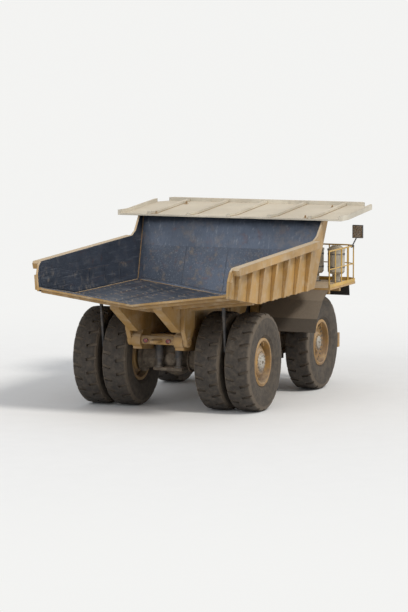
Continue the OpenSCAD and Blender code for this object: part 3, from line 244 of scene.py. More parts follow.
def worn_paint(name, base, dusty=0.6, mud=0.5, chips=0.6, rough=0.5, inner=None, under=RUST,
        fade=DUST * 0.95, edge=0.02, dents=0.0):
    """Sprayed steel: sun-faded patches, a pale coat on what faces up that is settled dust and painted
    sunlight, washed streaks, soil low down, paint worn through at the edges. inner is the side of the bed
    that rock has rubbed bare."""
    k = Look(name)
    patch = k.noise(0.55, 3.0)
    mid = k.noise(3.2, 6.0, 0.62)
    fine = k.noise(34.0, 4.0, 0.6)
    grit = k.noise(170.0, 2.0, 0.6)
    up = k.nz.step(0.25, 0.9)
    steep = ~abs(k.nz).step(0.3, 0.8)
    k.colour = k.tones(patch.step(0.36, 0.66), base, 0.80, 1.10)
    k.paint(mid.step(0.46, 0.80) & 0.30, fade)
    run = k.streaks(6.0, 0.55, 3.6, 3.6, 0.22)
    k.paint(run.step(0.52, 0.80) & steep & k.blend(patch.step(0.4, 0.6), 0.35, 1.0) & 0.42, SOIL * 0.70)
    washed = k.streaks(5.0, 0.5, 6.0, 6.0, 0.35)
    k.paint(washed.step(0.56, 0.82) & steep & 0.30, DUST)
    worn = k.worn(edge, 22.0, 0.44, 0.58) & chips
    spots = k.noise(11.0, 7.0, 0.75).step(0.70 - 0.05 * chips, 0.74) & chips
    k.paint(worn | spots, k.tones(fine, under, 0.7, 1.35))
    # The pale coat on upward faces: settled dust, and painted sunlight on the tops
    dust_and_painted_sunlight = (up & 0.85).plus(mid.step(0.40, 0.66) & 0.28) & k.blend(fine, 0.6, 1.0) & dusty
    low = k.z.step(2.7, 0.5) & mid.step(0.30, 0.62) & mud
    k.paint(dust_and_painted_sunlight, k.tones(fine, DUST, 0.86, 1.08))
    k.paint(low, k.tones(fine, SOIL, 0.75, 1.15))
    dust_sunlight_and_soil = dust_and_painted_sunlight | low
    roughness = k.blend(dust_sunlight_and_soil, rough, 0.93)
    height = grit * k.blend(dust_sunlight_and_soil, 0.10, 0.55) + mid * 0.5
    metallic = 0.0
    if inner:
        # What faces the load, and how the rock's scratches are drawn out
        face, scratches = {
            "floor": (k.nz.step(0.55, 0.8), (0.7, 19.0, 19.0)),
            "side": ((k.ny * k.y.sign() * -1.0).step(0.5, 0.8), (0.9, 9.0, 15.0, 0.25)),
            "front": ((k.nx * -1.0).step(0.3, 0.6), (12.0, 12.0, 1.2)),
        }[inner]
        scrape = k.streaks(6.0, 0.7, *scratches)
        painted, k.colour = k.colour, k.tones(patch.step(0.35, 0.65), STEEL, 0.72, 1.0)
        k.paint(scrape.step(0.54, 0.70) & 0.45, BRIGHT * 0.85)
        k.paint(scrape.step(0.46, 0.36) & 0.5, STEEL * 0.5)
        k.paint(mid.step(0.56, 0.74) & 0.30, RUST * 0.9)
        grime = k.noise(2.2, 6.0, 0.7).step(0.50, 0.70) & k.blend(up, 0.20, 0.5)
        k.paint(grime, k.mix(fine, SOIL * 0.85, DUST * 0.8))
        k.colour = k.mix(face, painted, k.colour)
        roughness = k.blend(face, roughness, k.blend(grime, k.blend(scrape, 0.32, 0.6), 0.9))
        metallic = face & k.blend(grime, 0.75, 0.05)
        height = height + (scrape & face) * 0.9
    if dents:
        k.rounded = k.bump(k.noise(1.5, 2.0, 0.45, bend=0.4), 0.6, dents, k.rounded)
    return k.skin(roughness, height, 0.55, 0.012, metallic=metallic)


def tyre_rubber(name, cx):
    """Mine tyre: dust held in the grooves and on the sidewall's rings, lugs scuffed darker, stone cuts."""
    k = Look(name)
    dx, dz = k.x - cx, k.z - AXLE_Z
    r = (dx * dx + dz * dz).root()
    patch = k.noise(1.6, 4.0, 0.6)
    mid = k.noise(7.0, 6.0, 0.66)
    grit = k.noise(150.0, 3.0, 0.65)
    cuts = k.cells(9.0, k.stretch(1.0, 2.2, 1.0), "DISTANCE_TO_EDGE").step(0.05, 0.0)

    def ring(a, b):
        return r.step(TYRE_R - a, TYRE_R - b)
    tread = ring(0.035, 0.008)
    groove = ring(0.17, 0.13) & ring(0.02, 0.045)
    k.colour = k.tones(patch, RUBBER, 0.8, 1.25)
    dust = k.blend(mid.step(0.25, 0.75), 0.12, 0.38)
    dust = k.blend(tread, dust, k.blend(mid.step(0.35, 0.75), 0.08, 0.30))
    dust = dust | (groove & k.blend(mid, 0.35, 0.62))
    k.paint(dust, k.mix(grit, SOIL * 0.70, DUST * 0.62))
    wall = ring(0.62, 0.52) & ring(0.22, 0.30)
    rings = r.wave(2 * math.pi / 0.085) ** 6.0 & wall
    height = rings * 0.55 + mid * 0.9 + grit * 0.22 - (cuts & tread) * 0.8
    k.edges(0.012)
    return k.skin(k.blend(dust, 0.72, 0.95), height, 0.7, 0.012, specular_ior_level=0.3)


def dark_coat(name, base=DARK, dusty=0.55, oily=0.3, rough=0.55, mud=0.6):
    """Dark machinery paint under dust, with oil-darkened patches that shine a little."""
    k = Look(name)
    mid = k.noise(4.5, 6.0, 0.65)
    fine = k.noise(40.0, 4.0, 0.6)
    grit = k.noise(160.0, 2.0)
    oil = k.noise(2.3, 4.0, 0.6).step(0.56, 0.66) & oily
    k.colour = k.tones(mid, base, 0.75, 1.3)
    worn = k.worn(0.014, 26.0, 0.46, 0.6)
    k.paint(worn & 0.6, BRIGHT * 0.6)
    dust = (k.nz.step(0.2, 0.9) & 0.8).plus(mid.step(0.42, 0.68) & 0.5) & dusty
    low = k.z.step(2.2, 0.4) & mid.step(0.34, 0.6) & mud
    dust = (dust | low) & ~oil
    k.paint(dust, k.mix(fine, SOIL * 0.8, DUST * 0.85))
    k.paint(oil, base * 0.35)
    return k.skin(k.blend(oil, k.blend(dust, rough, 0.93), 0.28), grit * 0.4 + mid * 0.5, 0.5, 0.01)


def casting(name, base):
    """Sand-cast housing: pebbled skin, dust above, oil and soil below."""
    k = Look(name)
    mid = k.noise(5.0, 6.0, 0.65)
    skin = k.noise(75.0, 5.0, 0.6)
    wet = k.noise(1.7, 5.0, 0.6).step(0.55, 0.64) & k.nz.step(0.2, -0.6)
    k.colour = k.tones(mid, base, 0.7, 1.25)
    worn = k.worn(0.016, 18.0, 0.46, 0.6)
    k.paint(worn & 0.5, RUST * 1.2)
    dust = (k.nz.step(0.1, 0.85) & 0.75).plus(mid.step(0.40, 0.66) & 0.45)
    k.paint(dust & 0.85, k.mix(skin, SOIL * 0.85, DUST * 0.9))
    k.paint(wet, base * 0.3)
    return k.skin(k.blend(wet, 0.88, 0.32), skin * 0.9 + mid * 0.4, 0.6, 0.012)


def chrome_rod(name):
    """Hard-chromed rod: fine lengthwise wiping marks, a film of dust and oil."""
    k = Look(name)
    film = k.noise(3.0, 5.0, 0.6).step(0.42, 0.66) & 0.55
    rub = k.streaks(4.0, 0.6, 3.0, 60.0, 3.0)
    k.colour = k.mix(rub, lin(176, 178, 182), lin(206, 208, 210))
    k.paint(film, DUST * 0.7)
    k.edges(0.006)
    return k.skin(k.blend(film, k.blend(rub, 0.16, 0.26), 0.6), rub, 0.12, 0.002, metallic=0.9)


def pane(name, tint):
    """Cab glass: clear in the wiped middle, a film of dust towards the edges and below."""
    k = Look(name)
    film = (k.noise(2.4, 5.0, 0.6).step(0.42, 0.72) & 0.30).plus(k.noise(60.0, 3.0) & 0.10)
    clear = k.node("BsdfPrincipled", **{"Base Color": tint, "Roughness": 0.04, "Transmission Weight": 1.0,
        "IOR": 1.45})
    k.put(k.bsdf.inputs["Base Color"], k.mix(k.noise(90.0, 2.0), DUST * 0.7, DUST))
    k.put(k.bsdf.inputs["Roughness"], 0.95)
    k.two(film, clear, k.bsdf)
    return k.m


def lens(name, colour, ribs=60.0):
    """Moulded lamp lens: fluted, with dust in the flutes."""
    k = Look(name)
    flutes, rows = k.y.wave(ribs), k.z.wave(ribs)
    dust = k.noise(14.0, 5.0, 0.6).step(0.40, 0.70) & 0.5
    # Tone follows the flutes that the bump draws: painted shade in their hollows, painted highlight on their
    # crests
    k.colour = k.tones(flutes & rows, colour, 0.65, 1.1)
    k.paint(dust, DUST * 0.9)
    k.edges(0.004)
    return k.skin(k.blend(dust, 0.12, 0.7), flutes + rows, 0.5, 0.004, coat_weight=0.5)


def moulded(name, base, grain=240.0, dusty=0.35):
    """Grained plastic or hose rubber, scuffed at the edges."""
    k = Look(name)
    pebble = k.cells(grain)
    mid = k.noise(5.0, 4.0, 0.5)
    dust = (k.nz.step(0.2, 0.9) & k.blend(mid, 0.5, 0.8)).plus(mid.step(0.35, 0.85) & 0.2) & dusty
    k.colour = k.tones(mid, base, 0.88, 1.15)
    worn = k.edges(0.005) & mid.step(0.4, 0.6)
    k.paint(worn & 0.4, base * 2.0)
    k.paint(dust, DUST * 0.85)
    return k.skin(k.blend(dust, k.blend(mid, 0.48, 0.72), 0.92), pebble, 0.35, 0.002)


def cloth(name, base):
    """Woven seat cover."""
    k = Look(name)
    weave = k.x.wave(900.0) * k.y.wave(900.0) + k.z.wave(900.0) * 0.6
    mid = k.noise(14.0, 5.0, 0.6)
    # Tone follows the weave that the bump draws: painted shade between the threads, painted highlight on them
    k.colour = k.tones(weave, base, 0.65, 1.3)
    k.paint(mid.step(0.40, 0.80) & 0.18, DUST * 0.5)
    k.edges(0.01)
    return k.skin(0.92, weave, 0.4, 0.0015, sheen_weight=0.4)


def flap_rubber(name, base):
    """Mud guard: pebbled rubber, scuffed edges, spray that has dried low down."""
    k = Look(name)
    broad = k.noise(0.9, 3.0, 0.5)
    fine = k.noise(55.0, 4.0, 0.6)
    pebble = k.cells(70.0)
    k.colour = k.tones(broad, base, 0.9, 1.15)
    scuff = k.edges(0.02) & k.noise(12.0, 4.0, 0.6).step(0.42, 0.62)
    k.paint(scuff & 0.35, base * 2.4)
    spray = (k.z + k.noise(2.6, 4.0, 0.55) * 1.1).step(3.1, 1.6) & 0.55
    dust = ((k.nz.step(0.1, 0.9) & 0.8) | spray) & k.blend(fine, 0.6, 1.0)
    k.paint(dust, k.mix(fine, SOIL * 0.8, DUST * 0.85))
    return k.skin(k.blend(dust, 0.66, 0.95), pebble * 0.5 + fine * 0.5, 0.35, 0.004, specular_ior_level=0.35)


def rubbed_steel(name):
    """Plate that rock slides over: scored along the bed, bright in the middle, brown dust in low spots."""
    k = Look(name)
    patch = k.noise(0.8, 3.0)
    mid = k.noise(4.0, 6.0, 0.66)
    fine = k.noise(60.0, 4.0, 0.6)
    score = k.streaks(7.0, 0.72, 0.8, 26.0, 26.0)
    wide = k.streaks(4.0, 0.6, 0.5, 6.0, 6.0)
    k.colour = k.tones(patch.step(0.34, 0.66), STEEL, 0.62, 0.95)
    k.paint(score.step(0.54, 0.68) & 0.6, BRIGHT * 0.85)
    k.paint(score.step(0.46, 0.34) & 0.6, STEEL * 0.36)
    k.paint(wide.step(0.56, 0.72) & 0.35, RUST * 0.9)
    dust = mid.step(0.50, 0.72) & 0.55
    k.paint(dust, k.mix(fine, SOIL * 0.7, DUST * 0.7))
    k.edges(0.01)
    return k.skin(k.blend(dust, k.blend(score, 0.34, 0.6), 0.92), score * 0.8 + mid * 0.6, 0.5, 0.008,
        metallic=k.blend(dust, 0.7, 0.05))


def weld_bead(name, base):
    """Painted-over weld: heaped ripples, rust in the toes, dust."""
    k = Look(name)
    mid = k.noise(6.0, 5.0, 0.6)
    k.colour = k.tones(mid, base, 0.7, 1.05)
    k.paint(mid.step(0.44, 0.6) & 0.6, RUST * 0.9)
    k.paint(k.nz.step(0.1, 0.9) & 0.6, DUST * 0.85)
    k.edges(0.004)
    return k.skin(0.8, k.noise(95.0, 3.0, 0.6), 0.8, 0.004)


def anti_slip(name, base):
    """Platform plate: raised lozenges under foot, worn bright along the walkways, dusty between them."""
    k = Look(name)
    up = abs(k.nz).step(0.5, 0.9)
    stud = (k.x + k.y).wave(52.0).step(0.80, 0.93) & (k.x - k.y).wave(26.0).step(0.35, 0.60) & up
    mid = k.noise(3.0, 6.0, 0.62)
    fine = k.noise(45.0, 4.0, 0.6)
    k.colour = k.tones(mid, base, 0.8, 1.1)
    k.paint(stud & mid.step(0.42, 0.62) & 0.7, BRIGHT)
    worn = k.worn(0.015, 24.0, 0.45, 0.6)
    k.paint(worn & 0.8, RUST)
    dust = (k.nz.step(0.2, 0.9) & 0.65).plus(mid.step(0.42, 0.66) & 0.3) & k.blend(stud, 0.95, 0.35)
    k.paint(dust, k.tones(fine, DUST, 0.82, 1.05))
    run = k.streaks(5.0, 0.6, 7.0, 7.0, 0.55)
    k.paint(run.step(0.5, 0.7) & ~up & 0.5, SOIL * 0.65)
    return k.skin(k.blend(dust, 0.5, 0.93), stud + fine * 0.25, 0.6, 0.005)


# Materials. The paints' three numbers say how dusty (the pale coat on upward faces, partly painted sunlight),
# muddy and chipped they are.

M = {
    "frame": worn_paint("paint_frame", OCHRE * 0.72, 0.62, 0.85, 0.45),
    "body": worn_paint("paint_body", OCHRE * 0.95, 0.62, 0.75, 0.6),
    "bed_floor": worn_paint("paint_bed_floor", OCHRE * 0.70, 0.7, 0.6, 0.6, under=STEEL, inner="floor",
        dents=0.05),
    "bed_side": worn_paint("paint_bed_side", OCHRE * 0.90, 0.9, 0.4, 0.9, under=STEEL, inner="side",
        dents=0.05),
    "bed_front": worn_paint("paint_bed_front", OCHRE * 0.90, 0.8, 0.4, 0.8, under=STEEL, inner="front",
        dents=0.05),
    # Canopy and cab roof: dusty pale paint, made pale also as painted sunlight on the tops
    "canopy": worn_paint("paint_canopy_and_painted_sunlight", PALE * 0.88, 0.85, 0.0, 0.7, fade=DUST * 1.1, dents=0.025),
    "cab": worn_paint("paint_cab", OCHRE * 1.05, 0.55, 0.0, 0.5, rough=0.42),
    "rail": worn_paint("paint_rail", lin(206, 164, 70) * 0.95, 0.5, 0.3, 0.9, edge=0.008),
    "rim": worn_paint("paint_rim", OCHRE * 0.85, 0.75, 0.9, 0.6),
    "cans": worn_paint("paint_cans", PALE * 0.80, 0.6, 0.0, 0.5, fade=DUST * 1.05, edge=0.01),
    # Hub covers: pale dusty paint, made pale also as a painted glint on the hubs
    "hub": worn_paint("paint_hub_and_painted_glint", lin(172, 170, 160), 0.55, 0.55, 0.7, rough=0.4, fade=DUST * 0.9,
        edge=0.008),
    "bed_bits": worn_paint("paint_bed_bits", OCHRE * 0.72, 0.7, 0.3, 0.8, edge=0.006),
    "bits": worn_paint("paint_bits", OCHRE * 0.80, 0.6, 0.6, 0.7, edge=0.006),
    "deck": anti_slip("paint_deck", OCHRE),
    "weld": weld_bead("weld_bead", OCHRE * 0.62),
    "liner": rubbed_steel("steel_liner"),
    "dark": dark_coat("coat_dark"),
    "dark_bits": dark_coat("coat_dark_bits", dusty=0.5),
    "wheel_bits": dark_coat("coat_wheel_bits", lin(96, 84, 66), dusty=0.7, oily=0.15, mud=0.9),
    "steel_bits": dark_coat("steel_bits", lin(120, 122, 126), oily=0.2, rough=0.4),
    "axle": casting("cast_axle", lin(92, 82, 70)),
    "chrome": chrome_rod("chrome"),
    "silver": chrome_rod("mirror_silver"),
    "glass": pane("glass", lin(190, 205, 205)),
    "lens": lens("lens_clear", lin(220, 222, 214)),
    "red": lens("lens_red", lin(150, 26, 20), 90.0),
    "plastic": moulded("moulded_plastic", lin(58, 58, 60)),
    "hose": moulded("hose_rubber", lin(36, 36, 37), 320.0, 0.6),
    "guard": flap_rubber("guard_rubber", lin(48, 46, 44)),
    "seat": cloth("seat_cloth", lin(64, 66, 72)),
    "front_tyre": tyre_rubber("tyre_front", FRONT_X),
    "rear_tyre": tyre_rubber("tyre_rear", REAR_X),
}

for look, names in {
    "frame": "frame_rails frame_crossmembers",
    "body": "bumper radiator_shell tanks",
    "deck": "deck",
    "bed_floor": "bed_floor",
    "bed_side": "bed_sides",
    "bed_front": "bed_front",
    "canopy": "bed_canopy cab_roof",
    "cab": "cab_walls cab_door",
    "rail": "handrails ladders",
    "rim": "front_rim_left front_rim_right rear_rims_left rear_rims_right",
    "dark": "grille powertrain struts rock_ejectors tie_rod hoist_barrel_left hoist_barrel_right",
    "axle": "rear_axle knuckle_left knuckle_right",
    "chrome": "hoist_stage_left hoist_stage_right hoist_rod_left hoist_rod_right",
    "glass": "cab_glass door_glass",
    "lens": "headlamps",
    "red": "tail_lamps",
    "plastic": "cab_console mirrors cab_seat",
    "guard": "mud_guards",
    "cans": "air_cleaners",
    "front_tyre": "front_tyre_left front_tyre_right",
    "rear_tyre": "rear_tyres_left rear_tyres_right",
}.items():
    for name in names.split():
        nodes[name].data.materials.clear()
        nodes[name].data.materials.append(M[look])


# Mesh tools

def around(count):
    """Angles of count even places round a circle."""
    return [2 * math.pi * i / count for i in range(count)]


def spin(centre, axis, points, angles, turn=0.0):
    """(radius, place along axis) points turned round an axis, to each of the angles."""
    axis = Vector(axis).normalized()
    u = Matrix.Rotation(turn, 3, axis) @ axis.orthogonal().normalized()
    w = axis.cross(u)
    return [Vector(centre) + axis * t + (u * math.cos(q) + w * math.sin(q)) * r
        for r, t in points for q in angles]


def quads(rows, sides, closed=False):
    """Faces between rows of points, each a round of so many sides; closed joins the last row to the first."""
    return [[i * sides + j, i * sides + (j + 1) % sides, (i + 1) % rows * sides + (j + 1) % sides,
        (i + 1) % rows * sides + j] for i in range(rows if closed else rows - 1) for j in range(sides)]


def placed(name, data):
    """Object in the scene."""
    ob = bpy.data.objects.new(name, data)
    bpy.context.scene.collection.objects.link(ob)
    return ob


def solid(name, verts, faces, smooth, material):
    """Mesh object in the scene."""
    me = bpy.data.meshes.new(name)
    me.from_pydata(verts, [], faces)
    me.polygons.foreach_set("use_smooth", smooth)
    me.materials.append(material)
    me.update()
    return placed(name, me)


class Kit:
    """Gathers many small solids into one mesh."""

    def __init__(self, *origin):
        self.v, self.f, self.s = [], [], []
        self.origin = Vector(origin or (0, 0, 0))

    def add(self, verts, faces, smooth=False):
        n = len(self.v)
        self.v += [tuple(self.origin + Vector(p)) for p in verts]
        self.f += [[i + n for i in f] for f in faces]
        self.s += [smooth] * len(faces)

    def block(self, a, b, cut=0.004, turn=None, about=None):
        """Box between two corners, with its edges cut, turned by a matrix about a point."""
        ends = [(min(p, q), max(p, q)) for p, q in zip(a, b)]
        cut = min([cut] + [0.45 * (high - low) for low, high in ends])
        sides = list(product((0, 1), repeat=3))
        verts = [Vector([ends[i][s[i]] + (0 if i == axis else -cut if s[i] else cut) for i in range(3)])
            for s in sides for axis in range(3)]
        faces = []
        for axis in range(3):
            u, w = (axis + 1) % 3, (axis + 2) % 3

            def corner(side, su, sw, face):
                s = {axis: side, u: su, w: sw}
                return 12 * s[0] + 6 * s[1] + 3 * s[2] + face
            for side in (0, 1):
                loop = [corner(side, su, sw, axis) for su, sw in ((0, 0), (1, 0), (1, 1), (0, 1))]
                faces.append(loop if side else loop[::-1])
            for su, sw in product((0, 1), repeat=2):
                loop = [corner(side, su, sw, face) for side, face in ((0, u), (1, u), (1, w), (0, w))]
                faces.append(loop if su == sw else loop[::-1])
        for i, s in enumerate(sides):
            faces.append([3 * i, 3 * i + 1, 3 * i + 2][::1 if sum(s) % 2 else -1])
        if turn is not None:
            verts = [about + turn @ (p - about) for p in verts]
        self.add(verts, faces)

    def slab(self, pairs, flip=False):
        """Plate from four pairs of corners, one below and one above."""
        faces = [[1, 3, 5, 7], [0, 6, 4, 2]]
        faces += [[i, (i + 2) % 8, (i + 3) % 8, i + 1] for i in (0, 2, 4, 6)]
        self.add([p for pair in pairs for p in pair], [f[::-1] for f in faces] if flip else faces)

    def drawn(self, first, second, flip=False):
        """Bar between two outlines of four points."""
        faces = [[0, 1, 2, 3], [7, 6, 5, 4]] + [[4 + i, 4 + (i + 1) % 4, (i + 1) % 4, i] for i in range(4)]
        self.add(first + second, [f[::-1] for f in faces] if flip else faces)

    def cap(self, rows, sides):
        """Closes the first and the last of the rows that were added."""
        n = len(self.v)
        first = n - rows * sides
        self.f += [list(range(first, first + sides))[::-1], list(range(n - sides, n))]
        self.s += [False, False]

    def turned(self, centre, axis, points, sides=48, caps=True, smooth=True):
        """Turned solid from (radius, place along axis) points."""
        self.add(spin(centre, axis, points, around(sides)), quads(len(points), sides), smooth)
        if caps:
            self.cap(len(points), sides)

    def rod(self, a, b, r, sides=16, cut=0.0):
        """Round bar between two points, its ends chamfered by cut."""
        line = Vector(b) - Vector(a)
        end = line.length
        points = [(r - cut, 0.0), (r, cut), (r, end - cut), (r - cut, end)] if cut else [(r, 0.0), (r, end)]
        self.turned(a, line.normalized(), points, sides, smooth=sides > 6)

    def loop(self, centre, axis, points, sides=64):
        """Turned ring with a closed section."""
        self.turned(centre, axis, points + points[:1], sides, caps=False)

    def ring(self, centre, axis, inner, outer, depth, sides):
        """Turned ring with a square section."""
        self.loop(centre, axis, [(inner, 0), (outer, 0), (outer, depth), (inner, depth)], sides)

    def tube(self, points, r, sides=10, closed=False):
        """Round bar along a route; r is its radius, or a list with one for each point."""
        pts = [Vector(p) for p in points]
        n, up, verts = len(pts), None, []
        for i, p in enumerate(pts):
            before = pts[i - 1] if i or closed else p
            after = pts[(i + 1) % n] if i < n - 1 or closed else p
            d = (after - before).normalized()
            up = d.orthogonal() if up is None else up - d * up.dot(d)
            up.normalize()
            w = d.cross(up)
            size = r[i] if isinstance(r, list) else r
            verts += [p + (up * math.cos(q) + w * math.sin(q)) * size for q in around(sides)]
        self.add(verts, quads(n, sides, closed), True)
        if not closed:
            self.cap(n, sides)

    def weld(self, points, r=0.011, pitch=0.03):
        """Weld bead along a route: a low rippled bar."""
        pts = [Vector(p) for p in points]
        route = []
        for p, q in zip(pts[:-1], pts[1:]):
            steps = max(1, int((q - p).length / pitch))
            route += [p.lerp(q, i / steps) for i in range(steps)]
        route.append(pts[-1])
        self.tube(route, [r * random.uniform(0.82, 1.15) for _ in route], 6)

    def bolt(self, at, axis, r=0.016, h=None):
        """Washer and hexagon head, turned by chance."""
        at, axis = Vector(at), Vector(axis).normalized()
        h = h or r * 0.8
        self.rod(at - axis * 0.002, at + axis * r * 0.2, r * 1.35, 14)
        points = [(r, r * 0.18), (r, h * 0.82 + r * 0.18), (r * 0.82, h + r * 0.18)]
        self.add(spin(at, axis, points, around(6), random.uniform(0, 1)), quads(3, 6) + [list(range(12, 18))])

    def bolts(self, centre, axis, radius, count, r=0.016, h=None):
        """Circle of bolts."""
        for p in spin(centre, axis, [(radius, 0)], around(count)):
            self.bolt(p, axis, r, h)

    def mirrored(self):
        """Mirror image across the truck's middle plane."""
        other = Kit()
        other.v = [(x, -y, z) for x, y, z in self.v]
        other.f, other.s = [f[::-1] for f in self.f], self.s[:]
        return other

    def both(self):
        """Adds the mirror image."""
        other = self.mirrored()
        n = len(self.v)
        self.v += other.v
        self.f += [[i + n for i in f] for f in other.f]
        self.s += other.s
        return self

    def make(self, name, look, slot, body="chassis"):
        """Mesh object that moves with a body."""
        ob = solid(name, self.v, self.f, self.s, M[look])
        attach(ob, body)


# Forms of the CAD part

def inner_y(z):
    return HALF_W + LEAN * (z - FLOOR_Z)


def wall_x(z):
    return WALL_FOOT + (z - FLOOR_Z) * WALL_TAN


def floor_at(x, y):
    """Height of the floor's upper face."""
    if x >= BEND_X:
        return FLOOR_Z + V_RISE * abs(y) / HALF_W
    return FLOOR_Z + (BEND_X - x) * TAIL_TAN + V_RISE * abs(y) / HALF_W / math.cos(math.radians(9))


def top_at(x):
    """Height of the side wall's upper edge."""
    x0, x1 = TAIL + 0.26, wall_x(SIDE_FRONT_Z) - 0.7
    t = max(0.0, min(1.0, (x - x0) / (x1 - x0)))
    return SIDE_REAR_Z + t * (SIDE_FRONT_Z - SIDE_REAR_Z)


def side_low(x):
    return 3.0403 + max(0.0, BEND_X - x) * TAIL_TAN


def screen_x(z):
    return CAB_X1 - max(0.0, z - 3.7) * 0.17 / (CAB_TOP - 3.7)


def canopy_top(x):
    """Height of the canopy plate's upper face."""
    bend = wall_x(CANOPY_Z) + WALL_RUN + 0.18
    return CANOPY_Z + 0.05 + max(0.0, x - bend) * CANOPY_RISE / (5.0 - bend)


# Bed: weld seams, wear plates, tail lip, pin keepers, lifting eyes

BED_FRONT = wall_x(FLOOR_Z + V_RISE) + WALL_RUN + 0.04
seams = Kit()
for share in (0.05, 0.20, 0.35, 0.50, 0.65, 0.80, 0.95):
    stake = TAIL + 0.15 + share * 6.05
    for x in (stake - 0.004, stake + 0.154):
        seams.weld([(x, inner_y(z) + 0.062, z) for z in (side_low(x) + 0.02, min(4.4, top_at(x) - 0.22))])
for share in (0.02, 0.16, 0.30, 0.44, 0.58, 0.72, 0.86, 0.97):
    bolster = TAIL + share * (BED_FRONT - TAIL - 0.17)
    for x, ends in product((bolster - 0.004, bolster + 0.174), ((0.0, 0.48), (0.76, 2.6))):
        seams.weld([(x, y, floor_at(x, y) - 0.062) for y in ends], 0.010, 0.06)
for y in (0.484, 0.756):
    seams.weld([(x, y, floor_at(x, y) - 0.064) for x in (-4.8, BEND_X, 1.38)], 0.012, 0.05)
# Inside: side walls to floor, corners of the front wall
foot = [(x, floor_at(x, HALF_W)) for x in (TAIL + 0.03, BEND_X, 1.47)]
seams.weld([(x, inner_y(z) - 0.004, z + 0.004) for x, z in foot], 0.016)
seams.weld([(wall_x(z) - 0.004, inner_y(z) - 0.004, z) for z in (3.15, CANOPY_Z - 0.04)], 0.014)
seams.weld([(wall_x(floor_at(0, y)) - 0.005, y, floor_at(0, y) + 0.005) for y in (0.0, 2.6)], 0.014)
# Ribs on the canopy
for share, edge in product((0.0, 0.36, 0.72), (-0.063, 0.063)):
    y = share * 3.44 + edge
    if y > 0:
        seams.weld([(x, y, canopy_top(x) + 0.002) for x in (1.85, 2.42, 4.95)], 0.010, 0.06)
seams.both().make("bed_welds", "weld", "bed_paint", "bed")


def floor_plate(kit, x0, x1, ys, t0, t1):
    """Plate on the floor, t0 thick at x0 and t1 at x1."""
    y0, y1 = ys
    kit.slab([((x, y, floor_at(x, y) - 0.002), (x, y, floor_at(x, y) + t))
        for x, y, t in ((x0, y0, t0), (x1, y0, t1), (x1, y1, t1), (x0, y1, t0))])


# Wear plates on the floor, the foot of the side walls and the front wall
plates = Kit()
lengths = [(TAIL + 0.17, -4.02), (-4.0, BEND_X - 0.005), (BEND_X + 0.005, -1.86), (-1.84, -0.81),
    (-0.79, 0.27), (0.29, 1.33)]
for xs, ys in product(lengths, ((0.02, 1.31), (1.33, 2.60))):
    floor_plate(plates, *xs, ys, 0.010, 0.010)
for x0, x1 in lengths:
    foot = [(x, floor_at(x, HALF_W) + up) for x, up in ((x0, 0.05), (x1, 0.05), (x1, 0.60), (x0, 0.60))]
    plates.slab([((x, inner_y(z) + 0.002, z), (x, inner_y(z) - 0.010, z)) for x, z in foot], flip=True)
plates.both()
for y0, y1 in ((-2.55, -1.30), (-1.28, -0.01), (0.01, 1.28), (1.30, 2.55)):
    face = (y0, floor_at(0, y0) + 0.08), (y1, floor_at(0, y1) + 0.08), (y1, 4.10), (y0, 4.10)
    plates.slab([((wall_x(z) + 0.002, y, z), (wall_x(z) - 0.011, y, z)) for y, z in face], flip=True)
plates.make("bed_wear_plates", "liner", "bed_paint", "bed")

# Plug welds that hold the wear plates
plugs = Kit()
for (x0, x1), share, y in product(lengths, (0.12, 0.5, 0.88), (0.16, 0.66, 1.17, 1.47, 1.97, 2.46)):
    x = x0 + (x1 - x0) * share
    normal = Vector((0 if x > BEND_X else TAIL_TAN, -V_RISE / HALF_W, 1)).normalized()
    plugs.turned((x, y, floor_at(x, y) + 0.009), normal, [(0.026, 0.0), (0.022, 0.005), (0.008, 0.007)], 12)
plugs.both().make("bed_plug_welds", "weld", "bed_paint", "bed")

# Wear bar along the tail's lip
lip = Kit()
for ys in ((0.0, 1.29), (1.31, 2.60)):
    floor_plate(lip, TAIL + 0.004, TAIL + 0.15, ys, 0.014, 0.022)
lip.both().make("bed_tail_lip", "liner", "bed_paint", "bed")

# Keeper plates of the pivot pins and of the hoists' upper pins
HOIST_Y, HOIST_FOOT, HOIST_HEAD = 0.867, (-0.90, 1.15), (-0.30, 2.3803)
fit = Kit()
y = 0.755 + 0.12
fit.loop((PIVOT_X, y, PIVOT_Z), LEFT,
    [(0.078, -0.002), (0.140, -0.002), (0.140, 0.012), (0.134, 0.016), (0.078, 0.016)], 48)
fit.bolts((PIVOT_X, y + 0.015, PIVOT_Z), LEFT, 0.110, 8, 0.013)
x, z = HOIST_HEAD
for s in (-1, 1):
    y = HOIST_Y + s * (0.065 + 0.036)
    fit.turned((x, y - 0.002 * s, z), (0, s, 0), [(0.072, 0.0), (0.072, 0.006), (0.068, 0.009)], 32)
fit.bolts((x, y + 0.008, z), LEFT, 0.05, 4, 0.010)
# Lifting eyes on the canopy
for x in (2.0, 4.3):
    y, z = 2.3, canopy_top(x)
    fit.block((x - 0.06, y - 0.05, z - 0.004), (x + 0.06, y + 0.05, z + 0.012), 0.003)
    fit.loop((x, y - 0.012, z + 0.045), LEFT, [(0.042, 0), (0.042, 0.024), (0.022, 0.024), (0.022, 0)], 28)
# Post at the tail end of each side wall
fit.drawn(*([(TAIL + dx, inner_y(z) + dy, z) for dx, dy in ((0.002, 0.062), (0.10, 0.062), (0.10, 0.115),
    (0.002, 0.115))] for z in (side_low(TAIL) + 0.03, SIDE_REAR_Z - 0.35)))
fit.both().make("bed_fittings", "bed_bits", "bed_paint", "bed")


# Wheels: nuts with their wedges, hub bolts and plugs, lock rings, valve stems

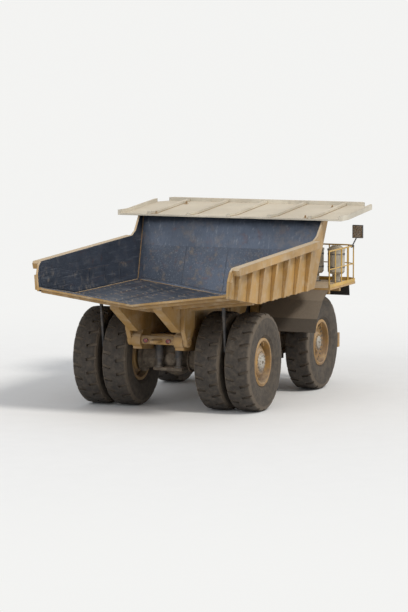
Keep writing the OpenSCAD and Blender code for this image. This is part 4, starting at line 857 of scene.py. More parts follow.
def wheel(kind, body, cx, nuts, wedge, circles, cover, plugs, lip, stem):
    """Both wheels of an axle. nuts is (y, radius, count), wedge is (y, radius, half height), circles of bolts
    are (y, axis, radius, count, size), and cover and plugs are turned."""
    bolts, lock, hub = (Kit(cx, 0, AXLE_Z) for _ in range(3))
    y, r, count = nuts
    bolts.bolts((0, y, 0), LEFT, r, count, 0.021, 0.022)
    y, r, half = wedge
    for q in around(count):
        p = Vector((r * math.cos(q), y, r * math.sin(q)))
        size = Vector((0.022, 0, half))
        bolts.block(p - size, p + size + Vector((0, 0.020, 0)), 0.005, Matrix.Rotation(-q, 3, "Y"), p)
    for y, axis, r, count, size in circles:
        bolts.bolts((0, y, 0), axis, r, count, size)
    for plug in plugs:
        bolts.turned(*plug)
    hub.turned(*cover)
    a, b = 0.5785 + 0.004, 0.5785 + 0.050
    lock.loop((0, 0, 0), LEFT, [(a, lip - 0.010), (a, lip + 0.010), (a + 0.031, lip + 0.016),
        (b, lip + 0.004), (b, lip - 0.010)], 96)
    stem = [Vector((0.02, y, z)) for y, z in stem]
    lock.tube(stem, 0.011, 8)
    lock.rod(stem[-1], stem[-1] - Vector((0, 0, 0.03)), 0.015, 10)
    for kit, name, look, slot in ((bolts, "_wheel_bolts_", "wheel_bits", "dark_metal"),
            (lock, "_lock_ring_", "bits", "rim"), (hub, "_hub_cover_", "hub", "rim")):
        kit.make(kind + name + "left", look, slot, body + "left")
        kit.mirrored().make(kind + name + "right", look, slot, body + "right")


wheel("front", "wheel_front_", FRONT_X, (2.262, 0.515, 24), (2.262, 0.548, 0.030),
    ((2.349, LEFT, 0.215, 14, 0.016), (2.387, LEFT, 0.105, 3, 0.013), (2.204, LEFT, 0.345, 20, 0.017)),
    ((0, 2.348, 0), LEFT,
        [(0.185, 0), (0.185, 0.018), (0.172, 0.030), (0.150, 0.032), (0.135, 0.040), (0.05, 0.046)], 48),
    [((0, 2.390, 0), LEFT, [(0.030, 0), (0.030, 0.012), (0.022, 0.018)], 20)],
    2.43, ((2.395, 0.570), (2.425, 0.545), (2.437, 0.50), (2.437, 0.46)))
wheel("rear", "wheels_rear_", REAR_X, (2.306, 0.522, 28), (2.308, 0.553, 0.028),
    ((2.429, LEFT, 0.359, 24, 0.015), (2.469, LEFT, 0.288, 18, 0.015), (2.504, LEFT, 0.175, 12, 0.013),
        (1.30, RIGHT, 0.44, 20, 0.016)),
    ((0, 2.468, 0), LEFT,
        [(0.262, 0), (0.262, 0.010), (0.215, 0.012), (0.215, 0.022), (0.200, 0.034), (0.07, 0.048)], 56),
    [((0, 2.512, 0), LEFT, [(0.045, 0), (0.045, 0.012), (0.036, 0.020)], 20)] + [((0.240 * math.cos(q), 2.478,
        0.240 * math.sin(q)), LEFT, [(0.028, 0), (0.028, 0.010), (0.020, 0.016)], 16) for q in (0.6, 3.7)],
    2.52, ((2.44, 0.572), (2.502, 0.560), (2.525, 0.52), (2.525, 0.47)))


# Frame: corner seams of the box rails, joints between their lengths, seams round the cross tubes

welds = Kit()
y = RAIL_OUT + 0.001
for route in ([(-3.1, RAIL_TOP), (1.2, RAIL_TOP), (1.64, RAIL_STEP), (4.78, RAIL_STEP)],
        [(4.60, 1.095), (0.92, 1.095), (-0.26, RAIL_STEP), (-1.32, RAIL_STEP)],
        [(-2.58, RAIL_STEP), (-3.2, 1.72)]):
    welds.weld([(x, y, z) for x, z in route], 0.010, 0.05)
for x, z in ((0.55, 1.30), (-0.75, 1.68)):
    welds.weld([(x, y, z), (x, y, RAIL_TOP)], 0.012, 0.04)
for x, z, r in ((-1.35, 2.09, 0.113), (0.65, 1.95, 0.133), (4.55, 1.28, 0.113), (PIVOT_X, PIVOT_Z, 0.123)):
    circle = around(32) + [2 * math.pi]
    welds.weld([(x + r * math.cos(q), RAIL_IN - 0.002, z + r * math.sin(q)) for q in circle], 0.011, 0.04)
# Strut towers: front and rear faces
for x in (2.81, 3.19):
    welds.weld([(x, RAIL_OUT, 1.70), (x, RAIL_OUT, 2.58)], 0.012, 0.05)
welds.both().make("frame_welds", "weld", "chassis_paint")

# Keeper plates of the hoists' lower pins
bits = Kit()
x, z = HOIST_FOOT
bits.turned((x, 0.9625, z), LEFT, [(0.070, 0.0), (0.070, 0.008), (0.066, 0.012)], 32)
bits.bolts((x, 0.974, z), LEFT, 0.045, 4, 0.009)
# Bolts on the strut towers' caps and the feet of the platform's legs
for x, y in product((2.86, 2.95, 3.05, 3.14), (0.80, 0.98)):
    bits.bolt((x, y, 2.60), UP)
for x in (2.345, 2.495):
    bits.bolt((x, 0.73, 1.70), LEFT, 0.012)
# Clamped pipes inside the rails: brake lines and hoist lines
for z, r in ((2.02, 0.016), (1.96, 0.016), (1.90, 0.011)):
    bits.tube([(x, RAIL_IN - 0.035, z - (0.02 if x > 1 else 0)) for x in (-2.5, -1.6, 0.3, 1.15)], r, 8)
for x in (-2.4, -2.0, -1.1, -0.6, -0.1, 0.4, 0.95):
    bits.block((x - 0.02, RAIL_IN - 0.056, 1.87), (x + 0.02, RAIL_IN - 0.001, 2.055))
    bits.bolt((x, RAIL_IN - 0.056, 2.045), RIGHT, 0.008)
bits.both().make("frame_bits", "dark_bits", "dark_metal")

# Rear axle: flange bolts, brake lines with their clips, inspection cover, filler plug
axle = Kit(REAR_X, 0, AXLE_Z)
axle.ring((0, 0.425, 0), LEFT, 0.28, 0.375, 0.035, 64)
for y, axis, r, count, size in ((0.459, LEFT, 0.345, 24, 0.015), (0.426, RIGHT, 0.357, 24, 0.011),
        (0.942, RIGHT, 0.355, 28, 0.015)):
    axle.bolts((0, y, 0), axis, r, count, size)
axle.tube([(-0.12, 0.44, 0.31), (-0.15, 0.60, 0.29), (-0.17, 0.86, 0.285), (-0.24, 0.925, 0.28)], 0.010, 8)
for y in (0.55, 0.75):
    axle.block((-0.185, y - 0.015, 0.255), (-0.145, y + 0.015, 0.303), 0.003)
axle.both()
axle.turned((-0.44, 0, 0.02), BACK, [(0.185, 0), (0.185, 0.030), (0.160, 0.045), (0.06, 0.055)], 40)
axle.bolts((-0.468, 0, 0.02), BACK, 0.168, 14, 0.012)
axle.turned((-0.30, 0, 0.345), (-0.66, 0, 0.75), [(0.030, 0), (0.030, 0.05), (0.018, 0.06)], 16)
axle.make("axle_bits", "axle", "dark_metal")

# Struts: the front ones' gland rings, cap bolts and charging valves, the rear ones' flanges and pins
struts = Kit(FRONT_X, KING_Y, 0)
struts.loop((0, 0, 2.62), UP, [(0.10, 0), (0.178, 0), (0.178, 0.052), (0.165, 0.060), (0.10, 0.060)], 48)
struts.bolts((0, 0, 2.678), UP, 0.145, 10, 0.014)
for x, z, r, sides in ((0, 2.715, 0.030, 12), (0.06, 2.705, 0.012, 8)):
    struts.rod((x, 0, 2.66), (x, 0, z), r, sides)
struts.bolts((0, 0, 1.566), DOWN, 0.203, 16, 0.009)
struts.origin = Vector((-2.54, 0.29, 0))
for z, r in ((1.405, 0.126), (1.845, 0.150)):
    struts.turned((0, 0, z), UP, [(0.105, 0), (r, 0.0), (r, 0.024), (0.105, 0.024)], 40)
struts.bolts((0, 0, 1.846), DOWN, 0.132, 8, 0.011)
struts.bolts((0, 0, 1.406), DOWN, 0.116, 10, 0.007)
struts.turned((0, 0, 1.16), UP, [(0.125, 0), (0.125, 0.030), (0.088, 0.050)], 40)
struts.both().make("strut_bits", "dark_bits", "dark_metal")

# Tanks: straps with their bolts, filler neck, sight gauges, drain plug, end seams
TANK_X0, TANK_X1, TANK_Z0, TANK_Z1, TANK_R = -0.26, 1.09, 1.02, 1.97, 0.18


def tank_outline(grow, n=8):
    r = TANK_R + grow
    return [(x + r * math.cos(q), z + r * math.sin(q))
        for x, z, start in ((TANK_X1 - TANK_R, TANK_Z1 - TANK_R, 0), (TANK_X0 + TANK_R, TANK_Z1 - TANK_R, 90),
            (TANK_X0 + TANK_R, TANK_Z0 + TANK_R, 180), (TANK_X1 - TANK_R, TANK_Z0 + TANK_R, 270))
        for q in [math.radians(start + 90 * i / n) for i in range(n + 1)]]


straps = Kit()
outer, inner = tank_outline(0.008), tank_outline(-0.002)
n = len(outer)
for y in (0.98, 1.46):
    verts = [(x, side, z) for side in (y - 0.04, y + 0.04) for outline in (outer, inner) for x, z in outline]
    faces = []
    for i in range(n):
        # The two outlines at one side of the strap, then at the other, here and a place further on
        (a, b, c, d), (e, f, g, h) = ([k + m * n for m in range(4)] for k in (i, (i + 1) % n))
        faces += [[a, e, g, c], [a, b, f, e], [c, g, h, d]]
    straps.add(verts, faces)
    for z in (1.40, 1.52):
        straps.block((TANK_X1 + 0.006, y - 0.05, z), (TANK_X1 + 0.035, y + 0.05, z + 0.06))
    straps.rod((TANK_X1 + 0.022, y, 1.37), (TANK_X1 + 0.022, y, 1.61), 0.010, 10)
straps.both().make("tank_straps", "steel_bits", "dark_metal")

tank = Kit()
tank.turned((0.75, 1.42, TANK_Z1 - 0.004), UP,
    [(0.075, 0), (0.075, 0.045), (0.095, 0.050), (0.095, 0.075), (0.080, 0.085), (0.03, 0.088)], 32)
tank.block((0.735, 1.33, TANK_Z1 + 0.083), (0.765, 1.51, TANK_Z1 + 0.097))
for z in (1.25, 1.72):
    tank.turned((0.05, 1.699, z), LEFT, [(0.045, 0), (0.045, 0.010), (0.036, 0.016)], 28)
    tank.bolts((0.05, 1.71, z), LEFT, 0.038, 6, 0.005, 0.004)
tank.rod((0.9, 1.40, TANK_Z0 + 0.004), (0.9, 1.40, TANK_Z0 - 0.035), 0.03, 12)
rim = [(x, 1.701, z) for x, z in tank_outline(-0.030, 6)]
tank.weld(rim + rim[:1], 0.009, 0.05)
tank.both().make("tank_bits", "bits", "chassis_paint")

# Propeller shaft: flanges with bolts, joint crosses
drive = Kit(0, 0, 1.39)
for x, face, axis in ((-1.44, -1.38, AHEAD), (0.63, 0.63, BACK)):
    drive.turned((x, 0, 0), AHEAD, [(0.135, 0), (0.135, 0.06)], 40)
    drive.bolts((face, 0, 0), axis, 0.112, 8, 0.012)
for x in (-1.27, 0.50):
    drive.rod((x, -0.118, 0), (x, 0.118, 0), 0.036, 14, cut=0.006)
    drive.rod((x, 0, -0.118), (x, 0, 0.118), 0.036, 14, cut=0.006)
drive.ring((1.86, 0, 0), AHEAD, 0.15, 0.20, 0.03, 40)
drive.bolts((1.889, 0, 0), AHEAD, 0.178, 12, 0.012)
# Bolts along the engine's sump and the gearbox's covers, and the engine's filters
drive.origin = Vector((0, 0, 0))
for i, s in product(range(14), (1, -1)):
    drive.bolt((2.32 + i * 0.14, s * 0.42, 1.33), (0, s, 0), 0.010)
for s in (1, -1):
    for i, z in product(range(8), (1.20, 1.63)):
        drive.bolt((0.78 + i * 0.14, s * 0.33, z), (0, s, 0), 0.010)
    for x in (3.45, 3.62, 3.79):
        drive.turned((x, s * 0.49, 1.36), UP, [(0.065, 0), (0.068, 0.02), (0.068, 0.20), (0.045, 0.225)], 24)
        drive.block((x - 0.05, s * 0.41, 1.57), (x + 0.05, s * 0.50, 1.63), 0.01)
drive.make("drive_bits", "dark_bits", "dark_metal")

# Knuckles: spindle bolts, brake cover bolts, brake lines, the steering arm's ball stud
for side in ("left", "right"):
    kit = Kit(FRONT_X, 0, 0)
    kit.bolts((0, 1.638, AXLE_Z), RIGHT, 0.40, 20, 0.014)
    kit.bolts((0, 1.901, AXLE_Z), LEFT, 0.42, 12, 0.010)
    kit.block((-0.12, 1.62, 1.64), (0.12, 1.645, 1.74), 0.006)
    kit.tube([(-0.08, 1.60, 1.70), (-0.14, 1.61, 1.67), (-0.24, 1.53, 1.52), (-0.26, 1.44, 1.30)], 0.010, 8)
    kit.rod((-0.08, 1.58, 1.70), (-0.08, 1.625, 1.70), 0.016, 10)
    kit.bolt((-0.52, KING_Y, 1.16), UP, 0.040, 0.02)
    if side == "right":
        kit = kit.mirrored()
    kit.make("knuckle_bits_" + side, "dark_bits", "dark_metal", "knuckle_" + side)

# Tie rod: clamps with their bolts
tie = Kit(2.48, 0, 0.97)
for y in (1.18, -1.18):
    tie.ring((0, y - 0.03, 0), LEFT, 0.045, 0.060, 0.06, 28)
    tie.block((-0.01, y - 0.028, -0.07), (0.01, y + 0.028, -0.052), 0.002)
    tie.rod((-0.03, y, -0.058), (0.03, y, -0.058), 0.007, 8)
tie.make("tie_rod_bits", "dark_bits", "dark_metal", "tie_rod")

# Hoists: gland rings and bolts, ports and the pipe between them, along the barrel's own line
foot, head = (Vector((x, HOIST_Y, z)) for x, z in (HOIST_FOOT, HOIST_HEAD))
line = (head - foot).normalized()
end = (head - foot).length - 0.088 - 0.058
hoist = Kit()
hoist.ring(foot + line * (end - 0.05), line, 0.096, 0.103, 0.046, 48)
hoist.ring(foot + line * 0.10, line, 0.093, 0.101, 0.03, 48)
hoist.bolts(foot + line * (end - 0.001), line, 0.088, 14, 0.005, 0.004)
ahead = Vector(LEFT).cross(line).normalized()
for t in (0.20, end - 0.14):
    p = foot + line * t + ahead * 0.090
    hoist.rod(p, p + ahead * 0.04, 0.022, 12)
a, b = (foot + line * t + ahead * 0.122 for t in (0.20, end - 0.14))
hoist.tube([a - ahead * 0.02, a, a.lerp(b, 0.5), b, b - ahead * 0.02], 0.012, 8)
for side, kit in (("left", hoist), ("right", hoist.mirrored())):
    kit.make("hoist_bits_" + side, "dark_bits", "dark_metal", "hoist_barrel_" + side)


# Platform: toe boards, post feet

deck = Kit()


def board(*route):
    """Toe board along the platform's edge."""
    for (x0, y0), (x1, y1) in zip(route[:-1], route[1:]):
        d = Vector((x1 - x0, y1 - y0, 0)).normalized() * 0.008
        low, high = DECK_Z - 0.002, DECK_Z + 0.10
        near = [(x0, y0, low), (x1, y1, low), (x1, y1, high), (x0, y0, high)]
        deck.drawn(near, [(x + d.y, y - d.x, z) for x, y, z in near], flip=True)


edge, side, corner = DECK_X1 - 0.012, DECK_HALF - 0.012, 0.24
board((DECK_X0 + 0.01, side), (DECK_X1 - corner, side), (edge, DECK_HALF - corner), (edge, 1.48))
for x, y in [(2.345 + i * 0.53, 2.905) for i in range(5)] + [(4.705, 2.665), (4.705, 2.0725), (4.705, 1.48)]:
    deck.block((x - 0.042, y - 0.042, DECK_Z - 0.001), (x + 0.042, y + 0.030, DECK_Z + 0.010), 0.002)
    for dx in (-0.030, 0.030):
        deck.bolt((x + dx, y - 0.030, DECK_Z + 0.008), UP, 0.007)
for y in (0.81, 0.29):
    deck.block((4.663, y - 0.042, DECK_Z - 0.001), (4.741, y + 0.042, DECK_Z + 0.010), 0.002)
deck.both()
board((edge, 0.88), (edge, -0.88))
deck.make("platform_bits", "rail", "rail_paint")

# Mirrors: frame round the glass, and the glass
frames, faces = (Kit(DECK_X1 - 0.4, DECK_HALF - 0.045, DECK_Z + 1.05) for _ in range(2))
for y0, z0, y1, z1 in ((0.02, 0.24, 0.33, 0.252), (0.02, 0.608, 0.33, 0.62), (0.02, 0.24, 0.032, 0.62),
        (0.318, 0.24, 0.33, 0.62)):
    frames.block((-0.060, y0, z0), (-0.044, y1, z1), 0.003)
faces.block((-0.049, 0.034, 0.254), (-0.044, 0.316, 0.606), 0.001)
frames.both().make("mirror_frames", "plastic", "mirror_shell")
faces.both().make("mirror_faces", "silver", "rod_chrome")

# Air cleaners: bands with latches, inlet screen, foot flange
cans = Kit()
for y in (-2.45, -1.80):
    cans.origin = Vector((4.25, y, DECK_Z))
    for z in (0.42, 0.80):
        cans.ring((0, 0, z), UP, 0.248, 0.256, 0.035, 64)
        for q in (0.4, 2.5, 4.6):
            p = Vector((0.258 * math.cos(q), 0.258 * math.sin(q), z + 0.0175))
            cans.block(p - Vector((0.014, 0.02, 0.028)), p + Vector((0.012, 0.02, 0.028)), 0.004,
                Matrix.Rotation(q, 3, "Z"), p)
    for q in around(24):
        out = Vector((math.cos(q), math.sin(q), 0))
        cans.rod(out * 0.262 + Vector((0, 0, 0.918)), out * 0.232 + Vector((0, 0, 0.972)), 0.006, 6)
    cans.ring((0, 0, 0), UP, 0.118, 0.17, 0.014, 40)
    cans.bolts((0, 0, 0.013), UP, 0.147, 8, 0.010)
cans.make("air_cleaner_bands", "steel_bits", "dark_metal")

# Radiator shell: side louvres, bolts, grille guard bars
shell = Kit()
for z in [1.98 + i * 0.085 for i in range(9)]:
    shell.drawn(*([(x, 0.849, z + 0.035), (x, 0.849, z - 0.010), (x, 0.872, z - 0.010), (x, 0.868, z + 0.004)]
        for x in (4.38, 4.76)))
for z, x in product((1.86, 2.80), (4.36, 4.78)):
    shell.bolt((x, 0.85, z), LEFT, 0.012)
shell.both()
for y in (-0.35, 0.35):
    shell.block((4.842, y - 0.012, 1.84), (4.858, y + 0.012, 2.74))
for y, z in product((-0.75, 0.75), (1.86, 2.28, 2.70)):
    shell.bolt((4.849, y, z), AHEAD, 0.011)
shell.make("shell_bits", "bits", "chassis_paint")

# Bumper: lamp bezels inside their holes, bolts of the ladders' brackets
bumper = Kit()
for y in (1.15, 1.42):
    bumper.loop((5.128, y, 1.21), AHEAD,
        [(0.0965, 0.0), (0.0992, 0.0), (0.0992, 0.0215), (0.090, 0.0215), (0.088, 0.016)], 40)
for y, x in product((2.10, 1.90), (4.90, 4.98)):
    bumper.bolt((x, y, 1.419), UP, 0.014)
bumper.both().make("bumper_bits", "bits", "chassis_paint")

# Serrated treads on the ladders, and on their two lower steps
treads = Kit()
foot, head = Vector((5.0, 0, 1.42)), Vector((4.81, 0, 2.98))
steps = [(p.x - 0.080, p.x + 0.080, p.z) for p in (foot + (head - foot) * i / 6.6 for i in range(1, 7))]
for x0, x1, z in steps + [(4.875, 5.015, 0.49), (4.875, 5.015, 0.76)]:
    for y in [0.96 + j * 0.0313 for j in range(15)]:
        treads.block((x0, y, z + 0.013), (x1, y + 0.010, z + 0.021), 0.002)
treads.both().make("ladder_treads", "steel_bits", "rail_paint")

# Tail lamps: rims and guard hoops
guards = Kit(PIVOT_X - 0.175, 0.33, PIVOT_Z)
guards.ring((-0.004, 0, 0), BACK, 0.058, 0.068, 0.02, 36)
guards.tube([(-0.018 - 0.022 * math.sin(q), 0, 0.062 * math.cos(q)) for q in around(16)[:9]], 0.005, 6)
guards.both().make("tail_lamp_guards", "dark_bits", "dark_metal")


# Cab: window seals, door seal and stop

def bars(y0, y1, z0, z1, t=0.026):
    """Opposite corners of the four bars of a frame round an opening."""
    return (((y0 - t, z0 - t), (y1 + t, z0)), ((y0 - t, z1), (y1 + t, z1 + t)), ((y0 - t, z0), (y0, z1)),
        ((y1, z0), (y1 + t, z1)))


def side_seal(kit, y, out, *opening):
    """Seal in a wall that faces left (out 1) or right (out -1)."""
    for (xa, za), (xb, zb) in bars(*opening):
        kit.block((xa, y - 0.002 * out, za), (xb, y + 0.010 * out, zb))


SILL, LINTEL = DECK_Z + 0.76, CAB_TOP - 0.13
seal, door_seal = Kit(), Kit()
for (ya, za), (yb, zb) in bars(CAB_Y0 + 0.2, CAB_Y1 - 0.2, DECK_Z + 0.85, CAB_TOP - 0.15):
    seal.block((CAB_X0 + 0.002, ya, za), (CAB_X0 - 0.010, yb, zb))
side_seal(seal, CAB_Y0, -1, CAB_X0 + 0.22, CAB_X1 - 0.42, SILL - 0.04, LINTEL)
side_seal(seal, CAB_Y1, 1, 3.85 + 0.06, CAB_X1 - 0.24, SILL, LINTEL)
# The windscreen's seal lies in the leaning plane
for (ya, za), (yb, zb) in bars(CAB_Y0 + 0.15, CAB_Y1 - 0.15, 3.76, CAB_TOP - 0.11):
    seal.slab([((screen_x(z) - 0.002, y, z), (screen_x(z) + 0.010, y, z + 0.001))
        for y, z in ((ya, za), (yb, za), (yb, zb), (ya, zb))])
seal.make("cab_seals", "hose", "console_plastic")

DOOR_X0, DOOR_X1 = 3.08, 3.85
side_seal(door_seal, CAB_Y1, 1, DOOR_X0 + 0.10, DOOR_X1 - 0.09, SILL, CAB_TOP - 0.15)
door_seal.make("door_seals", "hose", "console_plastic", "cab_door")

# Rubber stop behind the door's edge, on the cab's inner face
stop = Kit()
low, high = DECK_Z + 0.08, CAB_TOP - 0.06
for xa, za, xb, zb, inset in ((DOOR_X0 - 0.035, low, DOOR_X0 + 0.034, high, 0),
        (DOOR_X1 - 0.030, low, DOOR_X1 + 0.030, high, 0),
        (DOOR_X0 - 0.033, low - 0.008, DOOR_X1 + 0.028, low + 0.030, 0.001),
        (DOOR_X0 - 0.033, high - 0.030, DOOR_X1 + 0.028, high + 0.030, 0.001)):
    stop.block((xa, CAB_Y1 - 0.092 + inset, za), (xb, CAB_Y1 - 0.0725 - inset, zb))
stop.make("door_stop", "hose", "console_plastic")

# Door handle in its dish, lock, kick plate
handle = Kit(DOOR_X0, CAB_Y1, 0)
handle.block((0.05, -0.001, 3.60), (0.20, 0.006, 3.68), 0.003)
handle.tube([(0.07, 0.004, 3.64), (0.07, 0.035, 3.64), (0.18, 0.035, 3.64), (0.18, 0.004, 3.64)], 0.008, 8)
handle.turned((0.125, 0.004, 3.575), LEFT, [(0.014, 0), (0.014, 0.008), (0.008, 0.010)], 16)
handle.block((0.04, -0.001, 3.10), (0.73, 0.004, 3.26), 0.002)
for i in range(5):
    handle.bolt((0.07 + i * 0.155, 0.003, 3.24), LEFT, 0.006)
handle.make("door_handle", "steel_bits", "dark_metal", "cab_door")

# Grab rails on both sides of the door
rails = Kit(0, CAB_Y1, 0)
for x, top in ((3.02, 4.03), (3.935, 3.73)):
    rails.tube([(x, -0.002, 3.30), (x, 0.055, 3.33), (x, 0.055, top - 0.03), (x, -0.002, top)], 0.013, 10)
    for z in (3.30, top):
        rails.turned((x, -0.002, z), LEFT, [(0.028, 0), (0.028, 0.006)], 16)
# Rain strip over the door
rails.block((3.02, -0.001, CAB_TOP - 0.045), (3.90, 0.020, CAB_TOP - 0.032), 0.003)
# Wiper: motor boss, arm and blade on the windscreen
rails.origin = Vector((0, 0, 0))
x = screen_x(3.72) + 0.012
rails.turned((x - 0.014, 1.25, 3.715), AHEAD, [(0.026, 0), (0.026, 0.03), (0.015, 0.04)], 16)
rails.tube([(x + 0.016, 1.25, 3.715), (screen_x(3.95) + 0.042, 1.10, 3.95),
    (screen_x(4.30) + 0.026, 0.96, 4.30)], 0.006, 6)
rails.tube([(screen_x(3.86) + 0.016, 0.98, 3.86), (screen_x(4.62) + 0.016, 0.94, 4.62)], 0.007, 6)
rails.make("cab_outside_bits", "dark_bits", "console_plastic")

# Sealant seams of the cab's panels: rear corners, then along the rear and right walls
seams = Kit()
back, right, near, low, high = CAB_X0 - 0.001, CAB_Y0 - 0.001, CAB_X0 + 0.012, 3.02, CAB_TOP - 0.02
for ends in (((near, right, low), (near, right, high)),
        ((near, CAB_Y1 + 0.001, low), (near, CAB_Y1 + 0.001, high)),
        ((back, CAB_Y0 + 0.012, low), (back, CAB_Y0 + 0.012, high)),
        ((back, CAB_Y0 + 0.012, 3.62), (back, CAB_Y1 - 0.012, 3.62)),
        ((near, right, 3.55), (CAB_X1 - 0.012, right, 3.55))):
    seams.weld(ends, 0.006, 0.05)
seams.make("cab_seams", "cab", "cab_paint")


# Seat: padded cushion and back on a sprung base

def even_block(name, size, inset=0.009, voxel=0.006):
    """Closed block a little smaller than the cushion, remeshed into even quads."""
    kit = Kit()
    half = [t / 2 - inset for t in size]
    kit.block([-t for t in half], half, 0.020)
    ob = solid(name + "_start", kit.v, kit.f, kit.s, M["seat"])
    remesh = ob.modifiers.new("even", "REMESH")
    remesh.mode = "VOXEL"
    remesh.voxel_size = voxel
    even = bpy.data.meshes.new_from_object(ob.evaluated_get(bpy.context.evaluated_depsgraph_get()))
    ob.modifiers.clear()
    ob.data = even
    return ob


def blown_up(ob, before, cap=0.012, frames=20):
    """Positions after the cover is blown up as cloth; no point moves farther than cap."""
    scene = bpy.context.scene
    simulation = ob.modifiers.new("cover", "CLOTH")
    cover = simulation.settings
    cover.quality = 5
    cover.mass = 0.3
    cover.tension_stiffness = cover.compression_stiffness = 12
    cover.shear_stiffness = 6
    cover.bending_stiffness = 0.4
    cover.use_pressure = True
    cover.uniform_pressure_force = 4
    cover.effector_weights.gravity = 0
    simulation.collision_settings.use_collision = False
    simulation.point_cache.frame_start, simulation.point_cache.frame_end = 1, frames
    for i in range(frames):
        scene.frame_set(i + 1)
    swollen = ob.evaluated_get(bpy.context.evaluated_depsgraph_get()).to_mesh()
    moves = [v.co - p for v, p in zip(swollen.vertices, before)]
    ob.modifiers.clear()
    scene.frame_set(1)
    return [p + d * min(1.0, cap / max(d.length, 1e-9)) for p, d in zip(before, moves)]


def cushion_piece(name, centre, size, turn, across, along):
    """Padded cushion: swollen by the cloth simulation, then sewn channels, then piping round its edge."""
    ob = even_block(name, size)
    points = [v.co.copy() for v in ob.data.vertices]
    normals = [v.normal.copy() for v in ob.data.vertices]
    points = blown_up(ob, points)
    hx, hy, hz = (t / 2 for t in size)
    for p, n in zip(points, normals):
        if n.z > 0.2:
            inner = max(0.0, 1 - max(abs(p.x) / hx, abs(p.y) / hy) ** 8)
            dip = sum(math.exp(-((p.x - c * hx) / 0.009) ** 2) for c in across)
            dip += sum(math.exp(-((p.y - c * hy) / 0.009) ** 2) for c in along)
            p.z -= 0.011 * min(1.0, dip) * inner
    m = Matrix.Rotation(turn, 3, "Y")
    faces = [list(f.vertices) for f in ob.data.polygons]
    bpy.data.objects.remove(ob)
    made = solid(name, [Vector(centre) + m @ p for p in points], faces, [True] * len(faces), M["seat"])
    # Piping follows the rim above and below, a little inside the swollen surface
    tree = BVHTree.FromPolygons(points, faces)
    for z in (hz * 0.52, -hz * 0.52):
        rays = [Vector((math.cos(q), math.sin(q), 0)) for q in around(72)]
        hits = [tree.ray_cast(ray * 2 + Vector((0, 0, z)), -ray)[0] for ray in rays]
        piping.tube([Vector(centre) + m @ (hit * 0.998) for hit in hits if hit], 0.0042, 6, closed=True)
    return made


sx, sy, sz = CAB_X0 + 0.42, (CAB_Y0 + CAB_Y1) / 2, DECK_Z + 0.07
piping = Kit()
cushion = cushion_piece("seat_cushion", (sx + 0.03, sy, sz + 0.36), (0.51, 0.48, 0.135), 0.0, (-0.30, 0.30),
    (-0.62, 0.62))
backrest = cushion_piece("seat_back", (sx - 0.205, sy, sz + 0.745), (0.60, 0.46, 0.105), math.radians(82.5),
    (-0.55, -0.05, 0.45), (-0.60, 0.60))
for ob in (cushion, backrest):
    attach(ob, "chassis")
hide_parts("cab_seat")
piping.make("seat_piping", "hose", "console_plastic")
base = Kit(sx, sy, sz)
base.block((-0.20, -0.20, -0.002), (0.20, 0.20, 0.03), 0.006)
for i in range(6):
    z = 0.03 + i * 0.038
    base.turned((0, 0, z), UP, [(0.120, 0), (0.138, 0.010), (0.138, 0.028), (0.120, 0.038)], 32)
base.block((-0.22, -0.225, 0.255), (0.26, 0.225, 0.30), 0.010)
for s in (1, -1):
    base.block((-0.17, s * 0.235, 0.54), (0.17, s * 0.275, 0.585), 0.015)
    base.rod((-0.15, s * 0.245, 0.30), (-0.15, s * 0.245, 0.55), 0.014, 10)
base.tube([(-0.22, 0, 0.28), (-0.27, 0, 0.40), (-0.275, 0, 0.62)], 0.03, 10)
base.make("seat_base", "plastic", "console_plastic")

# Cab inside: rims and faces of the blank dials, pedals, lever and its box, floor mat, head lining
inside = Kit(CAB_X1 - 0.07, 0, DECK_Z)
slant = (-0.35, 0, 0.94)
for y, r in ((0.95, 0.05), (1.08, 0.05), (1.25, 0.07), (1.42, 0.05), (1.55, 0.05)):
    inside.ring((-0.245, y, 0.645), slant, r, r + 0.010, 0.014, 28)
    inside.turned((-0.247, y, 0.642), slant, [(r, 0), (r, 0.006)], 24)
for y in (1.02, 1.48):
    inside.block((-0.30, y - 0.05, 0.10), (-0.24, y + 0.05, 0.22), 0.01)
inside.origin = Vector((sx, CAB_Y0 + 0.42, DECK_Z))
inside.rod((0.10, 0, 0.45), (0.13, 0, 0.66), 0.010, 8)
inside.turned((0.13, 0, 0.65), UP, [(0.018, 0), (0.026, 0.02), (0.022, 0.05), (0.008, 0.062)], 16)
inside.block((-0.15, -0.06, 0.07), (0.22, 0.06, 0.46), 0.02)
inside.origin = Vector((CAB_X0, CAB_Y0, 0))
inside.block((0.09, 0.09, DECK_Z + 0.069), (1.48, 1.51, DECK_Z + 0.082))
inside.block((0.09, 0.09, CAB_TOP - 0.018), (1.33, 1.51, CAB_TOP - 0.001), 0.006)
inside.make("cab_inside_bits", "plastic", "console_plastic")


# Floor, light and camera

BACKDROP = (0.90, 0.90, 0.90 * 0.985, 1)

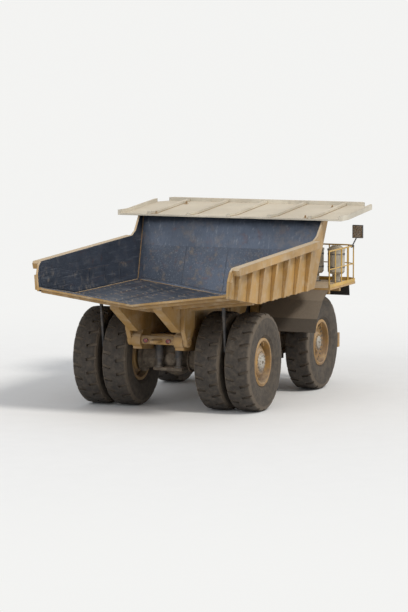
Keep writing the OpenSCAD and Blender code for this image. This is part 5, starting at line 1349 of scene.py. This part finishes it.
k = Look("floor_pale")
k.put(k.bsdf.inputs["Base Color"], k.mix(k.noise(1.5, 3.0), (0.78, 0.775, 0.765, 1), (0.82, 0.815, 0.805, 1)))
k.put(k.bsdf.inputs["Roughness"], 0.9)
away = (k.x * k.x + k.y * k.y).root().step(7.5, 26.0)
camera_ray, glossy_ray = k.rays("Camera", "Glossy")
k.two(away & (camera_ray | glossy_ray), k.bsdf, k.node("Emission", Color=BACKDROP))
floor = solid("floor", [(-200, -200, 0), (200, -200, 0), (200, 200, 0), (-200, 200, 0)], [(0, 1, 2, 3)],
    [False], k.m)

world = bpy.context.scene.world = bpy.data.worlds.new("studio")
world.use_nodes = True
k = Nodes(world.node_tree, "World")
camera_ray, glossy_ray, through_ray = k.rays("Camera", "Glossy", "Transmission")
k.two(camera_ray | (glossy_ray | through_ray),
    k.node("Background", Color=(0.93, 0.96, 1.0, 1), Strength=0.62),
    k.node("Background", Color=BACKDROP))


def aimed(name, data, azimuth, elevation, distance, centre=(0, 0, 0)):
    """Lamp or camera that looks at the centre; azimuth 0 is on the truck's right, 90 ahead of it."""
    a, e = math.radians(azimuth), math.radians(elevation)
    back = Vector((math.sin(a) * math.cos(e), -math.cos(a) * math.cos(e), math.sin(e)))
    ob = placed(name, data)
    ob.location = Vector(centre) + back * distance
    ob.rotation_euler = back.to_track_quat("Z", "Y").to_euler()
    return ob


for name, azimuth, elevation, strength, angle, colour in (("key", 335, 48, 1.75, 14, (1.0, 0.97, 0.92)),
        ("fill", 255, 25, 0.55, 40, (0.95, 0.97, 1.0))):
    data = bpy.data.lights.new(name, "SUN")
    data.energy = strength
    data.angle = math.radians(angle)
    data.color = colour
    aimed(name, data, azimuth, elevation, 20)

# The photograph's view: from behind and from the right side, a little from above
DISTANCE, WIDTH = 80.0, 11.5
data = bpy.data.cameras.new("camera")
data.sensor_fit = "HORIZONTAL"
data.sensor_width = 24.0
data.lens = data.sensor_width * DISTANCE / WIDTH
data.clip_end = 1000
bpy.context.scene.camera = aimed("camera", data, 292.0, 6.0, DISTANCE, (0.0, 0.0, 2.60))
bpy.context.scene.view_settings.view_transform = "Standard"
